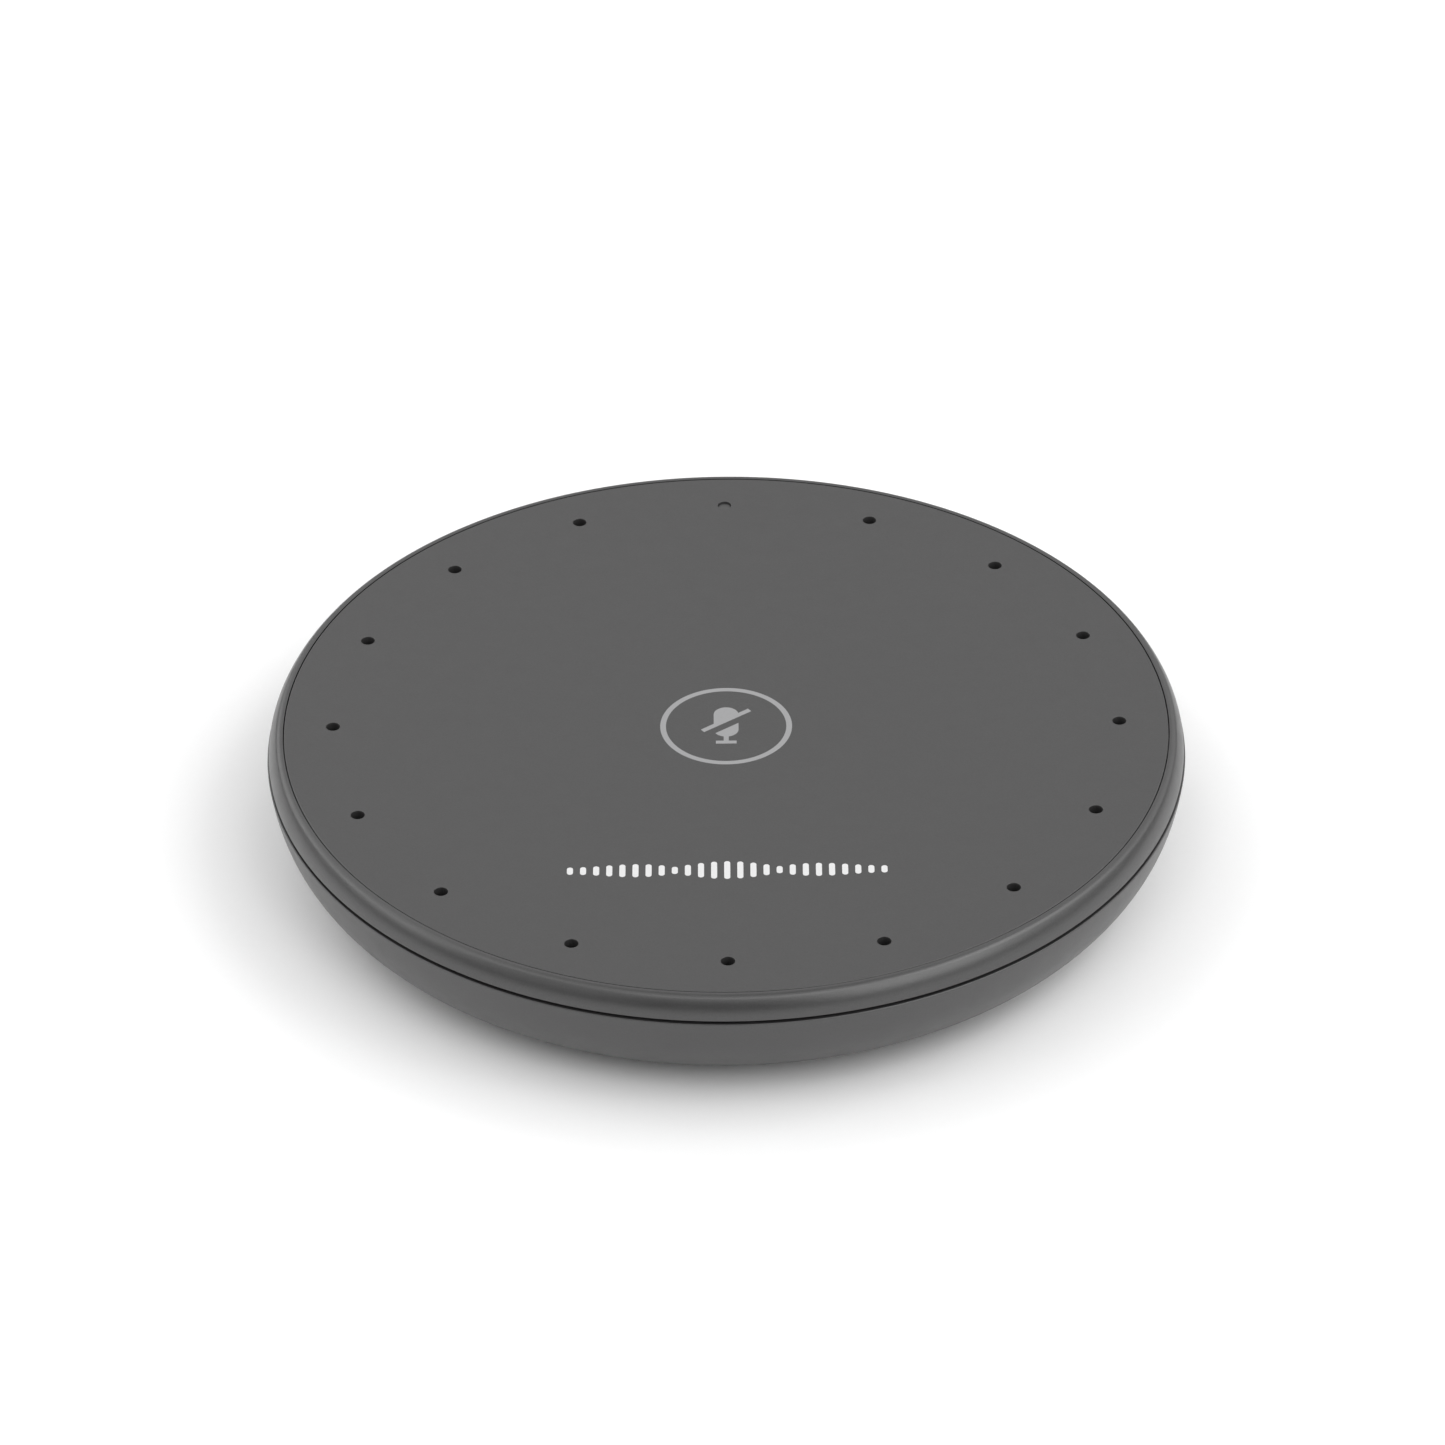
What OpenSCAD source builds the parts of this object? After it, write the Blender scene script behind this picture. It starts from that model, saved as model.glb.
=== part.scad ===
// Round table microphone for a conference system.
// A flat panel with a ring of sound ports, a rim housing, a bowl-shaped lower shell
// and the electronics between.
// Millimetres, +Z up. The origin is at the centre of the footprint, on the plane that the feet stand on.

/* [Body] */
// Largest diameter, at the top edge of the lower shell
body_d = 200; // [199:0.5:202]
// Wall of the lower shell
shell_wall = 2.2; // [2:0.1:2.4]
// Height that the feet stand proud of the lower shell
foot_proud = 1.2; // [1:0.1:1.5]
// Open gap of the parting groove between rim and shell
seam_gap = 0.7; // [0.5:0.1:0.9]
// Height of the rim above the parting groove
rim_h = 5.1; // [5:0.1:5.3]

/* [Bowl curve] */
// Radius of the upper arc of the bowl
bowl_upper_r = 31.7; // [30:0.1:33]
// Radius of the lower arc of the bowl
bowl_lower_r = 22.7; // [22.5:0.1:23.5]
// Slope of the wall under the parting groove, from vertical, in degrees
bowl_edge_angle = 5.5; // [5:0.1:6]
// Slope where the two arcs of the bowl meet, in degrees
bowl_blend_angle = 18.5; // [17:0.5:20]

/* [Rim curve] */
// Radius of the small arc at the top of the rim
rim_top_r = 1.7; // [1.6:0.05:1.8]
// Radius of the large arc at the side of the rim
rim_side_r = 7.25; // [7:0.05:7.5]
// Angle above horizontal where the two arcs of the rim meet
rim_blend_angle = 38; // [36:1:40]
// How far the rim's lower edge stands back from the shell's edge
rim_inset = 0.3; // [0.1:0.1:0.5]

/* [Panel] */
// Panel thickness
panel_t = 2; // [1.8:0.1:2.2]
// Width of the rim between the panel and the largest radius
rim_w = 3.55; // [3.5:0.05:3.7]
// Gap round the panel
panel_gap = 0.2; // [0.15:0.05:0.3]
// Thickness of the adhesive tape under the panel
tape_t = 0.15; // [0.1:0.05:0.2]

/* [Sound ports] */
// Places round the port circle, one of them the status light
port_places = 16; // [16:1:16]
// Radius of the port circle
port_circle_r = 85.6; // [85:0.1:86]
// Diameter of a sound port
port_d = 3; // [2.6:0.1:3.2]
// Depth of the status light below the panel's face
status_recess = 0.5; // [0.3:0.1:0.8]

/* [Touch mute pad] */
// Middle of the pad, behind the centre of the panel when positive
pad_y = -0.9; // [-1.5:0.1:1.5]
// Outer diameter of the printed ring
ring_d = 28.7; // [26:0.1:30]
// Width of the printed ring's line
ring_w = 1.25; // [1:0.05:1.5]
// Depth of the light windows in the panel
window_t = 0.3; // [0.2:0.1:0.5]
// Width of the microphone symbol's capsule
icon_w = 5.4; // [5:0.1:6]

/* [Port bay] */
// Width of the recess under the rear edge for the cables
bay_w = 52; // [50:1:52]
// Middle of the recess, to the right of the centre
bay_x = 2; // [1:1:3]
// Clear height of the recess above the table
bay_h = 19.6; // [19.4:0.1:19.6]
// Face of the wall that the sockets look out of
bay_y = 62.5; // [62.5:0.1:63]
// Thickness of the recess's walls
bay_wall = 2; // [1.6:0.1:2]

/* [Hidden] */
$fn = 96;
STEPS = 8;
EPS = 0.01;
FIT = 0.02;

// Heights of the bowl, worked upwards from its flat bottom
body_r = body_d / 2;
bowl_lower_z = foot_proud + bowl_lower_r;
bowl_upper_z = bowl_lower_z + (bowl_upper_r - bowl_lower_r) * sin(bowl_blend_angle);
shell_top = bowl_upper_z - bowl_upper_r * sin(bowl_edge_angle);
bowl_upper_x = body_r - bowl_upper_r * cos(bowl_edge_angle);
bowl_lower_x = bowl_upper_x + (bowl_upper_r - bowl_lower_r) * cos(bowl_blend_angle);
floor_top = foot_proud + shell_wall;

// Rim and panel
rim_bottom = shell_top + seam_gap;
body_h = rim_bottom + rim_h;
rim_side_x = body_r - rim_inset - rim_side_r;
rim_top_x = rim_side_x + (rim_side_r - rim_top_r) * cos(rim_blend_angle);
rim_top_z = body_h - rim_top_r;
rim_side_z = rim_top_z - (rim_side_r - rim_top_r) * sin(rim_blend_angle);
rim_inner_r = body_r - rim_w;
panel_r = rim_inner_r - panel_gap;
panel_bottom = body_h - panel_t;
deck_t = 2;
deck_top = panel_bottom - tape_t;
deck_bottom = deck_top - deck_t;
lip_t = 0.6;
tongue_clear = 0.5;
tongue_w = 1.6;
tongue_depth = 2.9;

// Light and mute pad
window_z = body_h - window_t;
guide_r = 17.2;
deck_hole_r = guide_r + 0.2;
touch_film_t = 0.2;
guide_top = panel_bottom - touch_film_t - 0.05;
touch_board_r = 21;
touch_board_t = 1;
touch_board_top = deck_bottom - 2.45;
touch_board_bottom = touch_board_top - touch_board_t;
touch_boss_circle = 19;
mute_led_circle = ring_d / 2 - ring_w / 2;

// Microphone board
mic_board_inner_r = port_circle_r - 4.1;
mic_board_outer_r = port_circle_r + 4.4;
mic_board_t = 1;
mic_board_top = deck_bottom - 1.95;
mic_board_bottom = mic_board_top - mic_board_t;
gasket_r = 2.5;
status_angle = 90;

// Main board
board_r = 66;
board_t = 1.6;
board_bottom = touch_board_bottom - 3;
board_top = board_bottom + board_t;
board_rear = bay_y - bay_wall - 0.2;
board_boss_circle = 58;

// Shield over the processor
shield_x = -39;
shield_y = -6;
shield_w = 28;
shield_h = 2.2;

// Screws and feet
case_screw_circle = 72;
case_screw_angles = [0, 60, 120, 180, 240, 300];
case_boss_bottom = 14;
case_seat_z = 9;
foot_r = 7;
foot_circle = 62;
foot_sink = 0.5;
ballast_r = 56;
ballast_t = 2;
ballast_circle = 40;

// Sockets
jack_x = -11;
jack_w = 16;
jack_h = 13.3;
jack_l = 21.5;
jack_face = bay_y - 0.2;
usb_x = 9;
usb_w = 8.9;
usb_h = 3.2;
usb_l = 7.3;
reset_x = 22;
reset_z = board_bottom - 1.9;
reset_r = 1;
ribbon_angle = 258.75;
ribbon_w = 8;
ribbon_inner_r = 60;
ribbon_outer_r = 81.9;

// Points of an arc about (cx, cy), from angle a0 to angle a1
function arc_points(cx, cy, r, a0, a1) =
    [for (i = [0 : STEPS]) let (a = a0 + (a1 - a0) * i / STEPS) [cx + r * cos(a), cy + r * sin(a)]];

// Angles of the port circle that carry a microphone
function mic_angles() =
    [for (i = [0 : port_places - 1]) let (a = i * 360 / port_places) if (a != status_angle) a];

// Angles of the screws of the microphone board, in every other space between two ports
function mic_screw_angles() = [for (i = [0 : 2 : port_places - 1]) (i + 0.5) * 360 / port_places];

module polar(r, a) {
    rotate([0, 0, a]) translate([r, 0, 0]) children();
}

module ring(r_out, r_in, h) {
    difference() {
        cylinder(r = r_out, h = h);
        translate([0, 0, -1]) cylinder(r = r_in, h = h + 2);
    }
}

// A box standing on z = 0, centred on X and Y
module block(size) {
    translate([-size[0] / 2, -size[1] / 2, 0]) cube(size);
}

// A screw whose head seats on z = 0, shank up, with a hexagon socket in the head
module screw(head_r, head_h, shank_r, length) {
    difference() {
        union() {
            translate([0, 0, -head_h]) cylinder(r = head_r, h = head_h);
            translate([0, 0, -EPS]) cylinder(r = shank_r, h = length + EPS);
        }
        translate([0, 0, -head_h - EPS]) cylinder(r = head_r * 0.5, h = head_h * 0.6, $fn = 6);
    }
}

// The bowl's outline, moved inwards by inset, closed along the axis and run up to z = top
module bowl_outline(inset, top, lip_r) {
    edge_x = bowl_upper_x + (bowl_upper_r - inset) * cos(bowl_edge_angle);
    edge_z = bowl_upper_z - (bowl_upper_r - inset) * sin(bowl_edge_angle);
    polygon(concat(
        [[0, foot_proud + inset]],
        arc_points(bowl_lower_x, bowl_lower_z, bowl_lower_r - inset, -90, -bowl_blend_angle),
        [for (i = [1 : STEPS]) arc_points(
            bowl_upper_x, bowl_upper_z, bowl_upper_r - inset, -bowl_blend_angle, -bowl_edge_angle)[i]],
        inset == 0 ? [[lip_r, edge_z]] : [],
        [[inset == 0 ? lip_r : edge_x, top], [0, top]]
    ));
}

// Deck, rim and tongue in one outline
module rim_outline() {
    tongue_r = body_r - shell_wall - tongue_clear;
    side_start = asin((rim_bottom - rim_side_z) / rim_side_r);
    top_end = acos((rim_inner_r - rim_top_x) / rim_top_r);
    polygon(concat(
        [
            [deck_hole_r, deck_bottom],
            [tongue_r - tongue_w, deck_bottom],
            [tongue_r - tongue_w, rim_bottom - tongue_depth],
            [tongue_r, rim_bottom - tongue_depth],
            [tongue_r, rim_bottom]
        ],
        arc_points(rim_side_x, rim_side_z, rim_side_r, side_start, rim_blend_angle),
        [for (i = [1 : STEPS]) arc_points(rim_top_x, rim_top_z, rim_top_r, rim_blend_angle, top_end)[i]],
        [[rim_inner_r, deck_top], [deck_hole_r, deck_top]]
    ));
}

// The printed ring, the microphone capsule with its stem and foot, and the stroke through it
module ring_shape() {
    difference() {
        circle(d = ring_d);
        circle(d = ring_d - 2 * ring_w);
    }
}

module icon_shape() {
    r = icon_w / 2;
    stroke_angle = 37;
    stroke_t = 1.2;
    stroke_l = 12.9;
    stroke_y = 2.1;
    gap_t = 1.8;
    difference() {
        union() {
            polygon(concat(arc_points(0, 4.3, r, 0, 180), arc_points(0, -1.3, r, 180, 360)));
            translate([-0.55, -5.6]) square([1.1, 2.2]);
            translate([-2.25, -6.6]) square([4.5, 1.1]);
        }
        translate([0, stroke_y]) rotate(stroke_angle)
            translate([-8, -stroke_t / 2 - gap_t]) square([16, gap_t]);
    }
    translate([0, stroke_y]) rotate(stroke_angle) square([stroke_l, stroke_t], center = true);
}

module top_panel() {
    color([0.37, 0.365, 0.365])
    difference() {
        translate([0, 0, panel_bottom]) cylinder(r = panel_r, h = panel_t, $fn = 180);
        for (i = [0 : port_places - 1]) {
            polar(port_circle_r, i * 360 / port_places)
                translate([0, 0, panel_bottom - 1]) cylinder(d = port_d, h = panel_t + 2, $fn = 32);
        }
        translate([0, pad_y, window_z]) linear_extrude(height = 1) ring_shape();
        translate([0, pad_y, window_z]) linear_extrude(height = 1) icon_shape();
    }
}

module mute_ring_window() {
    color([0.68, 0.68, 0.69]) translate([0, pad_y, window_z]) linear_extrude(height = window_t) ring_shape();
}

module mute_icon_window() {
    color([0.68, 0.68, 0.69]) translate([0, pad_y, window_z]) linear_extrude(height = window_t) icon_shape();
}

module panel_tape() {
    color([0.12, 0.12, 0.12])
    translate([0, 0, deck_top]) {
        ring(panel_r - 0.8, port_circle_r + 2.9, tape_t);
        ring(30, 22, tape_t);
    }
}

module upper_housing() {
    boss_top = deck_bottom + 1;
    color([0.36, 0.355, 0.355])
    difference() {
        union() {
            rotate_extrude($fn = 180) rim_outline();
            for (a = case_screw_angles) {
                polar(case_screw_circle, a)
                    translate([0, 0, case_boss_bottom]) cylinder(r = 3.2, h = boss_top - case_boss_bottom);
            }
            for (a = [45 : 90 : 315]) {
                polar(board_boss_circle, a)
                    translate([0, 0, board_top]) cylinder(r = 2.6, h = boss_top - board_top);
            }
            for (a = [0 : 120 : 240]) {
                polar(touch_boss_circle, a)
                    translate([0, 0, touch_board_top]) cylinder(r = 1.5, h = boss_top - touch_board_top);
            }
            for (a = mic_screw_angles()) {
                polar(port_circle_r, a)
                    translate([0, 0, mic_board_top]) cylinder(r = 2.2, h = boss_top - mic_board_top);
            }
        }
        for (a = mic_angles()) {
            polar(port_circle_r, a) translate([0, 0, deck_bottom - 1])
                cylinder(r = gasket_r + 0.1, h = deck_t + 2);
        }
        polar(port_circle_r, status_angle)
            translate([0, 0, deck_bottom - 1]) cylinder(r = 1.6, h = deck_t + 2);
        for (a = case_screw_angles) {
            polar(case_screw_circle, a) translate([0, 0, case_boss_bottom - 1]) cylinder(r = 1.25, h = 10);
        }
        for (a = [45 : 90 : 315]) {
            polar(board_boss_circle, a) translate([0, 0, board_top - 1]) cylinder(r = 1, h = 5);
        }
        for (a = [0 : 120 : 240]) {
            polar(touch_boss_circle, a) translate([0, 0, touch_board_top - 1]) cylinder(r = 0.7, h = 4);
        }
        for (a = mic_screw_angles()) {
            polar(port_circle_r, a) translate([0, 0, mic_board_top - 1]) cylinder(r = 0.8, h = 3.6);
        }
    }
}

module bay_block(grow, top, front) {
    translate([bay_x - bay_w / 2 - grow, front, -1]) cube([bay_w + 2 * grow, body_r, top + 1]);
}

// The space inside the lower shell, less everything that stands up from its floor
module shell_inside() {
    difference() {
        rotate_extrude($fn = 180) bowl_outline(shell_wall, rim_bottom + 1, 0);
        bay_block(bay_wall, bay_h + 1.5, bay_y - bay_wall);
        for (a = case_screw_angles) {
            polar(case_screw_circle, a) cylinder(r = 4.2, h = case_boss_bottom);
        }
        for (a = [30, 150, 270]) {
            polar(ballast_circle, a) cylinder(r = 2.5, h = floor_top + ballast_t);
        }
        for (a = [30 : 60 : 330]) {
            if (a != 90) polar(64, a) translate([0, -0.6, 0]) cube([20, 1.2, 8]);
        }
    }
}

module lower_shell() {
    lip_r = body_r - shell_wall + lip_t;
    wall_y = bay_y - bay_wall - 1;
    color([0.36, 0.355, 0.355])
    difference() {
        rotate_extrude($fn = 180) bowl_outline(0, rim_bottom, lip_r);
        shell_inside();
        bay_block(0, bay_h, bay_y);
        translate([jack_x - jack_w / 2 - 0.2, wall_y, board_bottom - jack_h - 0.2])
            cube([jack_w + 0.4, bay_wall + 2, jack_h + 0.4]);
        translate([usb_x - usb_w / 2 - 0.5, wall_y, board_bottom - usb_h - 0.5])
            cube([usb_w + 1, bay_wall + 2, usb_h + 0.9]);
        translate([reset_x, wall_y, reset_z]) rotate([-90, 0, 0])
            cylinder(r = reset_r + 0.15, h = bay_wall + 2);
        for (a = case_screw_angles) {
            polar(case_screw_circle, a) {
                translate([0, 0, -1]) cylinder(r = 3, h = case_seat_z + 1);
                cylinder(r = 1.7, h = case_boss_bottom + 1);
            }
        }
        for (a = [30, 150, 270]) {
            polar(ballast_circle, a) translate([0, 0, foot_proud + 1]) cylinder(r = 1, h = 10);
        }
        for (a = [45 : 90 : 315]) {
            polar(foot_circle, a) cylinder(r = foot_r + 0.1, h = foot_proud + foot_sink);
        }
        translate([0, -28, 0]) block([52, 26, foot_proud + 0.3]);
    }
}

module rubber_feet() {
    edge = 0.4;
    color([0.08, 0.08, 0.08])
    for (a = [45 : 90 : 315]) {
        polar(foot_circle, a) {
            cylinder(r1 = foot_r - edge, r2 = foot_r, h = edge);
            translate([0, 0, edge]) cylinder(r = foot_r, h = foot_proud + foot_sink - edge);
        }
    }
}

module case_screws() {
    color([0.15, 0.15, 0.16])
    for (a = case_screw_angles) {
        polar(case_screw_circle, a) translate([0, 0, case_seat_z]) screw(2.7, 2.2, 1.25 - FIT, 12);
    }
}

module ballast_plate() {
    color([0.55, 0.56, 0.58])
    difference() {
        translate([0, 0, floor_top]) cylinder(r = ballast_r, h = ballast_t);
        for (a = [30, 150, 270]) {
            polar(ballast_circle, a) cylinder(r = 2.7, h = 20);
        }
    }
}

module ballast_screws() {
    color([0.72, 0.72, 0.74])
    for (a = [30, 150, 270]) {
        polar(ballast_circle, a) translate([0, 0, floor_top + ballast_t]) mirror([0, 0, 1])
            screw(4.2, 1.4, 1 - FIT, 2.9);
    }
}

module rating_label() {
    color([0.75, 0.75, 0.76]) translate([0, -28, foot_proud + 0.1]) block([51, 25, 0.2]);
}

module microphone_board() {
    color([0.05, 0.22, 0.14])
    difference() {
        translate([0, 0, mic_board_bottom]) ring(mic_board_outer_r, mic_board_inner_r, mic_board_t);
        for (a = mic_angles()) {
            polar(port_circle_r, a) cylinder(r = 0.5, h = body_h, $fn = 24);
        }
        for (a = mic_screw_angles()) {
            polar(port_circle_r, a) cylinder(r = 1, h = body_h, $fn = 24);
        }
    }
}

module mems_microphones() {
    color([0.78, 0.72, 0.5])
    for (a = mic_angles()) {
        polar(port_circle_r, a) translate([0, 0, mic_board_bottom - 1]) block([2.65, 3.5, 1]);
    }
}

module microphone_gaskets() {
    color([0.1, 0.1, 0.1])
    for (a = mic_angles()) {
        polar(port_circle_r, a) translate([0, 0, mic_board_top])
            ring(gasket_r, 1.3, deck_top - mic_board_top);
    }
}

module acoustic_meshes() {
    color([0.06, 0.06, 0.06])
    for (a = mic_angles()) {
        polar(port_circle_r, a) translate([0, 0, deck_top]) cylinder(r = gasket_r + 0.1, h = tape_t);
    }
}

module mic_board_screws() {
    color([0.72, 0.72, 0.74])
    for (a = mic_screw_angles()) {
        polar(port_circle_r, a) translate([0, 0, mic_board_bottom]) screw(1.7, 0.9, 0.8 - FIT, 3.2);
    }
}

module status_led() {
    color([0.95, 0.9, 0.7])
    polar(port_circle_r, status_angle) translate([0, 0, mic_board_top]) block([1.6, 1.6, 0.7]);
}

module status_light_pipe() {
    flange_h = 0.7;
    color([0.55, 0.55, 0.56])
    polar(port_circle_r, status_angle) {
        translate([0, 0, deck_bottom - flange_h]) cylinder(r = 2.2, h = flange_h);
        translate([0, 0, deck_bottom - EPS])
            cylinder(r = port_d / 2 - 0.05, h = body_h - status_recess - deck_bottom + EPS);
    }
}

module touch_film() {
    color([0.75, 0.6, 0.3])
    translate([0, 0, panel_bottom - touch_film_t]) cylinder(r = guide_r, h = touch_film_t);
}

module mute_light_guide() {
    skirt_h = 1.1;
    color([0.9, 0.9, 0.92])
    difference() {
        translate([0, 0, touch_board_top]) cylinder(r = guide_r, h = guide_top - touch_board_top);
        translate([0, 0, touch_board_top - 1]) cylinder(r = guide_r - 1, h = skirt_h + 1);
    }
}

module mute_leds() {
    color([0.95, 0.9, 0.7])
    for (a = [30 : 60 : 330]) {
        polar(mute_led_circle, a) translate([0, 0, touch_board_top]) block([0.8, 1.6, 0.6]);
    }
}

module touch_board() {
    color([0.05, 0.22, 0.14])
    difference() {
        translate([0, 0, touch_board_bottom]) cylinder(r = touch_board_r, h = touch_board_t);
        for (a = [0 : 120 : 240]) {
            polar(touch_boss_circle, a) cylinder(r = 0.85, h = body_h, $fn = 24);
        }
    }
}

module touch_controller() {
    color([0.08, 0.08, 0.09]) translate([0, 0, touch_board_top]) block([4, 4, 0.8]);
}

module touch_board_screws() {
    color([0.72, 0.72, 0.74])
    for (a = [0 : 120 : 240]) {
        polar(touch_boss_circle, a) translate([0, 0, touch_board_bottom]) screw(1.4, 0.7, 0.7 - FIT, 2.9);
    }
}

module touch_connector() {
    color([0.85, 0.82, 0.74])
    translate([0, -8, board_top]) block([9, 3, touch_board_bottom - board_top]);
}

module main_board() {
    color([0.05, 0.22, 0.14])
    difference() {
        translate([0, 0, board_bottom]) cylinder(r = board_r, h = board_t);
        translate([-board_r, board_rear, 0]) cube([2 * board_r, board_r, body_h]);
        for (a = [45 : 90 : 315]) {
            polar(board_boss_circle, a) cylinder(r = 1.3, h = body_h, $fn = 24);
        }
    }
}

module board_screws() {
    color([0.72, 0.72, 0.74])
    for (a = [45 : 90 : 315]) {
        polar(board_boss_circle, a) translate([0, 0, board_bottom]) screw(2.3, 1.5, 1 - FIT, 5);
    }
}

module processor() {
    color([0.1, 0.1, 0.11]) translate([shield_x, shield_y - 4, board_top]) block([14, 14, 1.1]);
}

module memory_chips() {
    color([0.08, 0.08, 0.09])
    for (side = [-1, 1]) {
        translate([shield_x + side * 6.5, shield_y + 8.5, board_top]) block([11, 8, 0.9]);
    }
}

module shield_frame() {
    t = 0.3;
    color([0.75, 0.75, 0.76])
    translate([shield_x, shield_y, board_top])
    difference() {
        block([shield_w, shield_w, shield_h]);
        translate([0, 0, -1]) block([shield_w - 2 * t, shield_w - 2 * t, shield_h + 2]);
    }
}

module shield_lid() {
    t = 0.2;
    gap = 0.05;
    inner = shield_w + 2 * gap;
    color([0.8, 0.8, 0.82])
    translate([shield_x, shield_y, board_top + 0.6])
    difference() {
        block([inner + 2 * t, inner + 2 * t, shield_h - 0.6 + t]);
        translate([0, 0, -1]) block([inner, inner, shield_h - 0.6 + 1]);
    }
}

module thermal_pad() {
    color([0.6, 0.7, 0.8])
    translate([shield_x, shield_y - 4, board_top + 1.1]) block([12, 12, shield_h - 1.1]);
}

module audio_codec() {
    color([0.08, 0.08, 0.09]) translate([36, -14, board_top]) block([7, 7, 0.9]);
}

module ethernet_phy() {
    color([0.08, 0.08, 0.09]) translate([-14, 36, board_top]) block([6, 6, 0.9]);
}

module power_transformer() {
    h = 10;
    color([0.75, 0.65, 0.3])
    translate([30, 14, board_bottom - h]) {
        block([15, 6, h]);
        translate([0, 0, 1.5]) block([11, 13, h - 1.5]);
    }
}

module bulk_capacitors() {
    h = 8;
    color([0.25, 0.27, 0.3])
    for (i = [-1 : 1]) {
        translate([38, -14 + 10 * i, board_bottom - h]) cylinder(r = 4, h = h);
    }
}

module power_inductor() {
    color([0.3, 0.3, 0.32]) translate([12, 12, board_bottom - 4]) block([8, 8, 4]);
}

module network_magnetics() {
    color([0.08, 0.08, 0.09]) translate([jack_x, 27, board_bottom - 6]) block([16, 12, 6]);
}

// Sockets are drawn with the mouth towards +Y, the back at y = 0 and the board side on z = 0
module at_rear(x, length, face) {
    translate([x, face - length, board_bottom]) children();
}

module ethernet_jack_shield() {
    t = 0.3;
    color([0.75, 0.75, 0.76])
    at_rear(jack_x, jack_l, jack_face)
    difference() {
        translate([-jack_w / 2, 0, -jack_h]) cube([jack_w, jack_l, jack_h]);
        translate([-jack_w / 2 + t, t, -jack_h + t]) cube([jack_w - 2 * t, jack_l - 2 * t, jack_h - t + 1]);
        translate([-6.1, jack_l - 1, -jack_h + 2.2]) cube([12.2, 2, 8.6]);
        translate([-3.2, jack_l - 1, -jack_h + 0.9]) cube([6.4, 2, 2]);
    }
}

module ethernet_jack_body() {
    t = 0.35;
    depth = 14;
    color([0.06, 0.06, 0.06])
    at_rear(jack_x, jack_l, jack_face)
    difference() {
        translate([-jack_w / 2 + t, t, -jack_h + t])
            cube([jack_w - 2 * t, jack_l - 2 * t, jack_h - t - 0.05]);
        translate([-5.9, jack_l - depth, -jack_h + 2.5]) cube([11.8, depth + 1, 8.1]);
        translate([-3, jack_l - depth, -jack_h + 1.1]) cube([6, depth + 1, 2]);
    }
}

module ethernet_jack_contacts() {
    wire = 0.35;
    roof = -jack_h + 10.6;
    color([0.85, 0.68, 0.25])
    at_rear(jack_x, jack_l, jack_face)
    for (i = [0 : 7]) {
        translate([(i - 3.5) * 1.02 - wire / 2, jack_l - 13.9, roof - 1.9]) cube([wire, 9, wire]);
        translate([(i - 3.5) * 1.02 - wire / 2, jack_l - 4.9 - wire, roof - 1.6]) cube([wire, wire, 1.55]);
    }
}

module usb_socket_shell() {
    t = 0.3;
    r = usb_h / 2;
    color([0.75, 0.75, 0.76])
    at_rear(usb_x, usb_l, jack_face - 0.3)
    translate([0, 0, -r]) rotate([-90, 0, 0])
    difference() {
        linear_extrude(height = usb_l) slot_shape(usb_w, usb_h);
        translate([0, 0, t]) linear_extrude(height = usb_l) slot_shape(usb_w - 2 * t, usb_h - 2 * t);
    }
}

// A rectangle with round ends
module slot_shape(w, h) {
    polygon(concat(
        arc_points(w / 2 - h / 2, 0, h / 2, -90, 90),
        arc_points(h / 2 - w / 2, 0, h / 2, 90, 270)
    ));
}

module usb_socket_tongue() {
    color([0.06, 0.06, 0.06])
    at_rear(usb_x, usb_l, jack_face - 0.3) translate([-3.4, 0.35, -usb_h / 2 - 0.35]) cube([6.8, 5.6, 0.7]);
}

module reset_switch_body() {
    body_l = 3.6;
    travel_room = 0.5;
    face = bay_y - bay_wall - 0.3;
    color([0.12, 0.12, 0.12])
    difference() {
        translate([reset_x, face - body_l / 2, board_bottom - 3.6]) block([6, body_l, 3.6]);
        translate([reset_x, face - 0.9 - travel_room, reset_z]) rotate([-90, 0, 0])
            cylinder(r = reset_r + 0.08, h = 4);
    }
}

module reset_plunger() {
    face = bay_y - bay_wall - 0.3;
    color([0.85, 0.85, 0.86])
    translate([reset_x, face - 0.9, reset_z]) rotate([-90, 0, 0])
        cylinder(r = reset_r, h = bay_y - 0.5 - face + 0.9);
}

module mic_ribbon() {
    color([0.8, 0.6, 0.25])
    rotate([0, 0, ribbon_angle])
        translate([ribbon_inner_r + 2, -ribbon_w / 2, board_top + 0.8])
            cube([ribbon_outer_r - ribbon_inner_r - 2, ribbon_w, 0.2]);
}

module ribbon_connectors() {
    h = mic_board_bottom - board_top;
    color([0.85, 0.82, 0.74])
    rotate([0, 0, ribbon_angle]) {
        translate([ribbon_inner_r, 0, board_top]) block([4, ribbon_w + 2, 1.8]);
        translate([ribbon_outer_r + 2, 0, mic_board_bottom - h + 0.2]) block([4, ribbon_w + 2, h - 0.2]);
    }
}

top_panel();
mute_ring_window();
mute_icon_window();
panel_tape();
upper_housing();
lower_shell();
rubber_feet();
case_screws();
ballast_plate();
ballast_screws();
rating_label();
microphone_board();
mems_microphones();
microphone_gaskets();
acoustic_meshes();
mic_board_screws();
status_led();
status_light_pipe();
touch_film();
mute_light_guide();
mute_leds();
touch_board();
touch_controller();
touch_board_screws();
touch_connector();
main_board();
board_screws();
processor();
memory_chips();
shield_frame();
shield_lid();
thermal_pad();
audio_codec();
ethernet_phy();
power_transformer();
bulk_capacitors();
power_inductor();
network_magnetics();
ethernet_jack_shield();
ethernet_jack_body();
ethernet_jack_contacts();
usb_socket_shell();
usb_socket_tongue();
reset_switch_body();
reset_plunger();
mic_ribbon();
ribbon_connectors();
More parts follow.
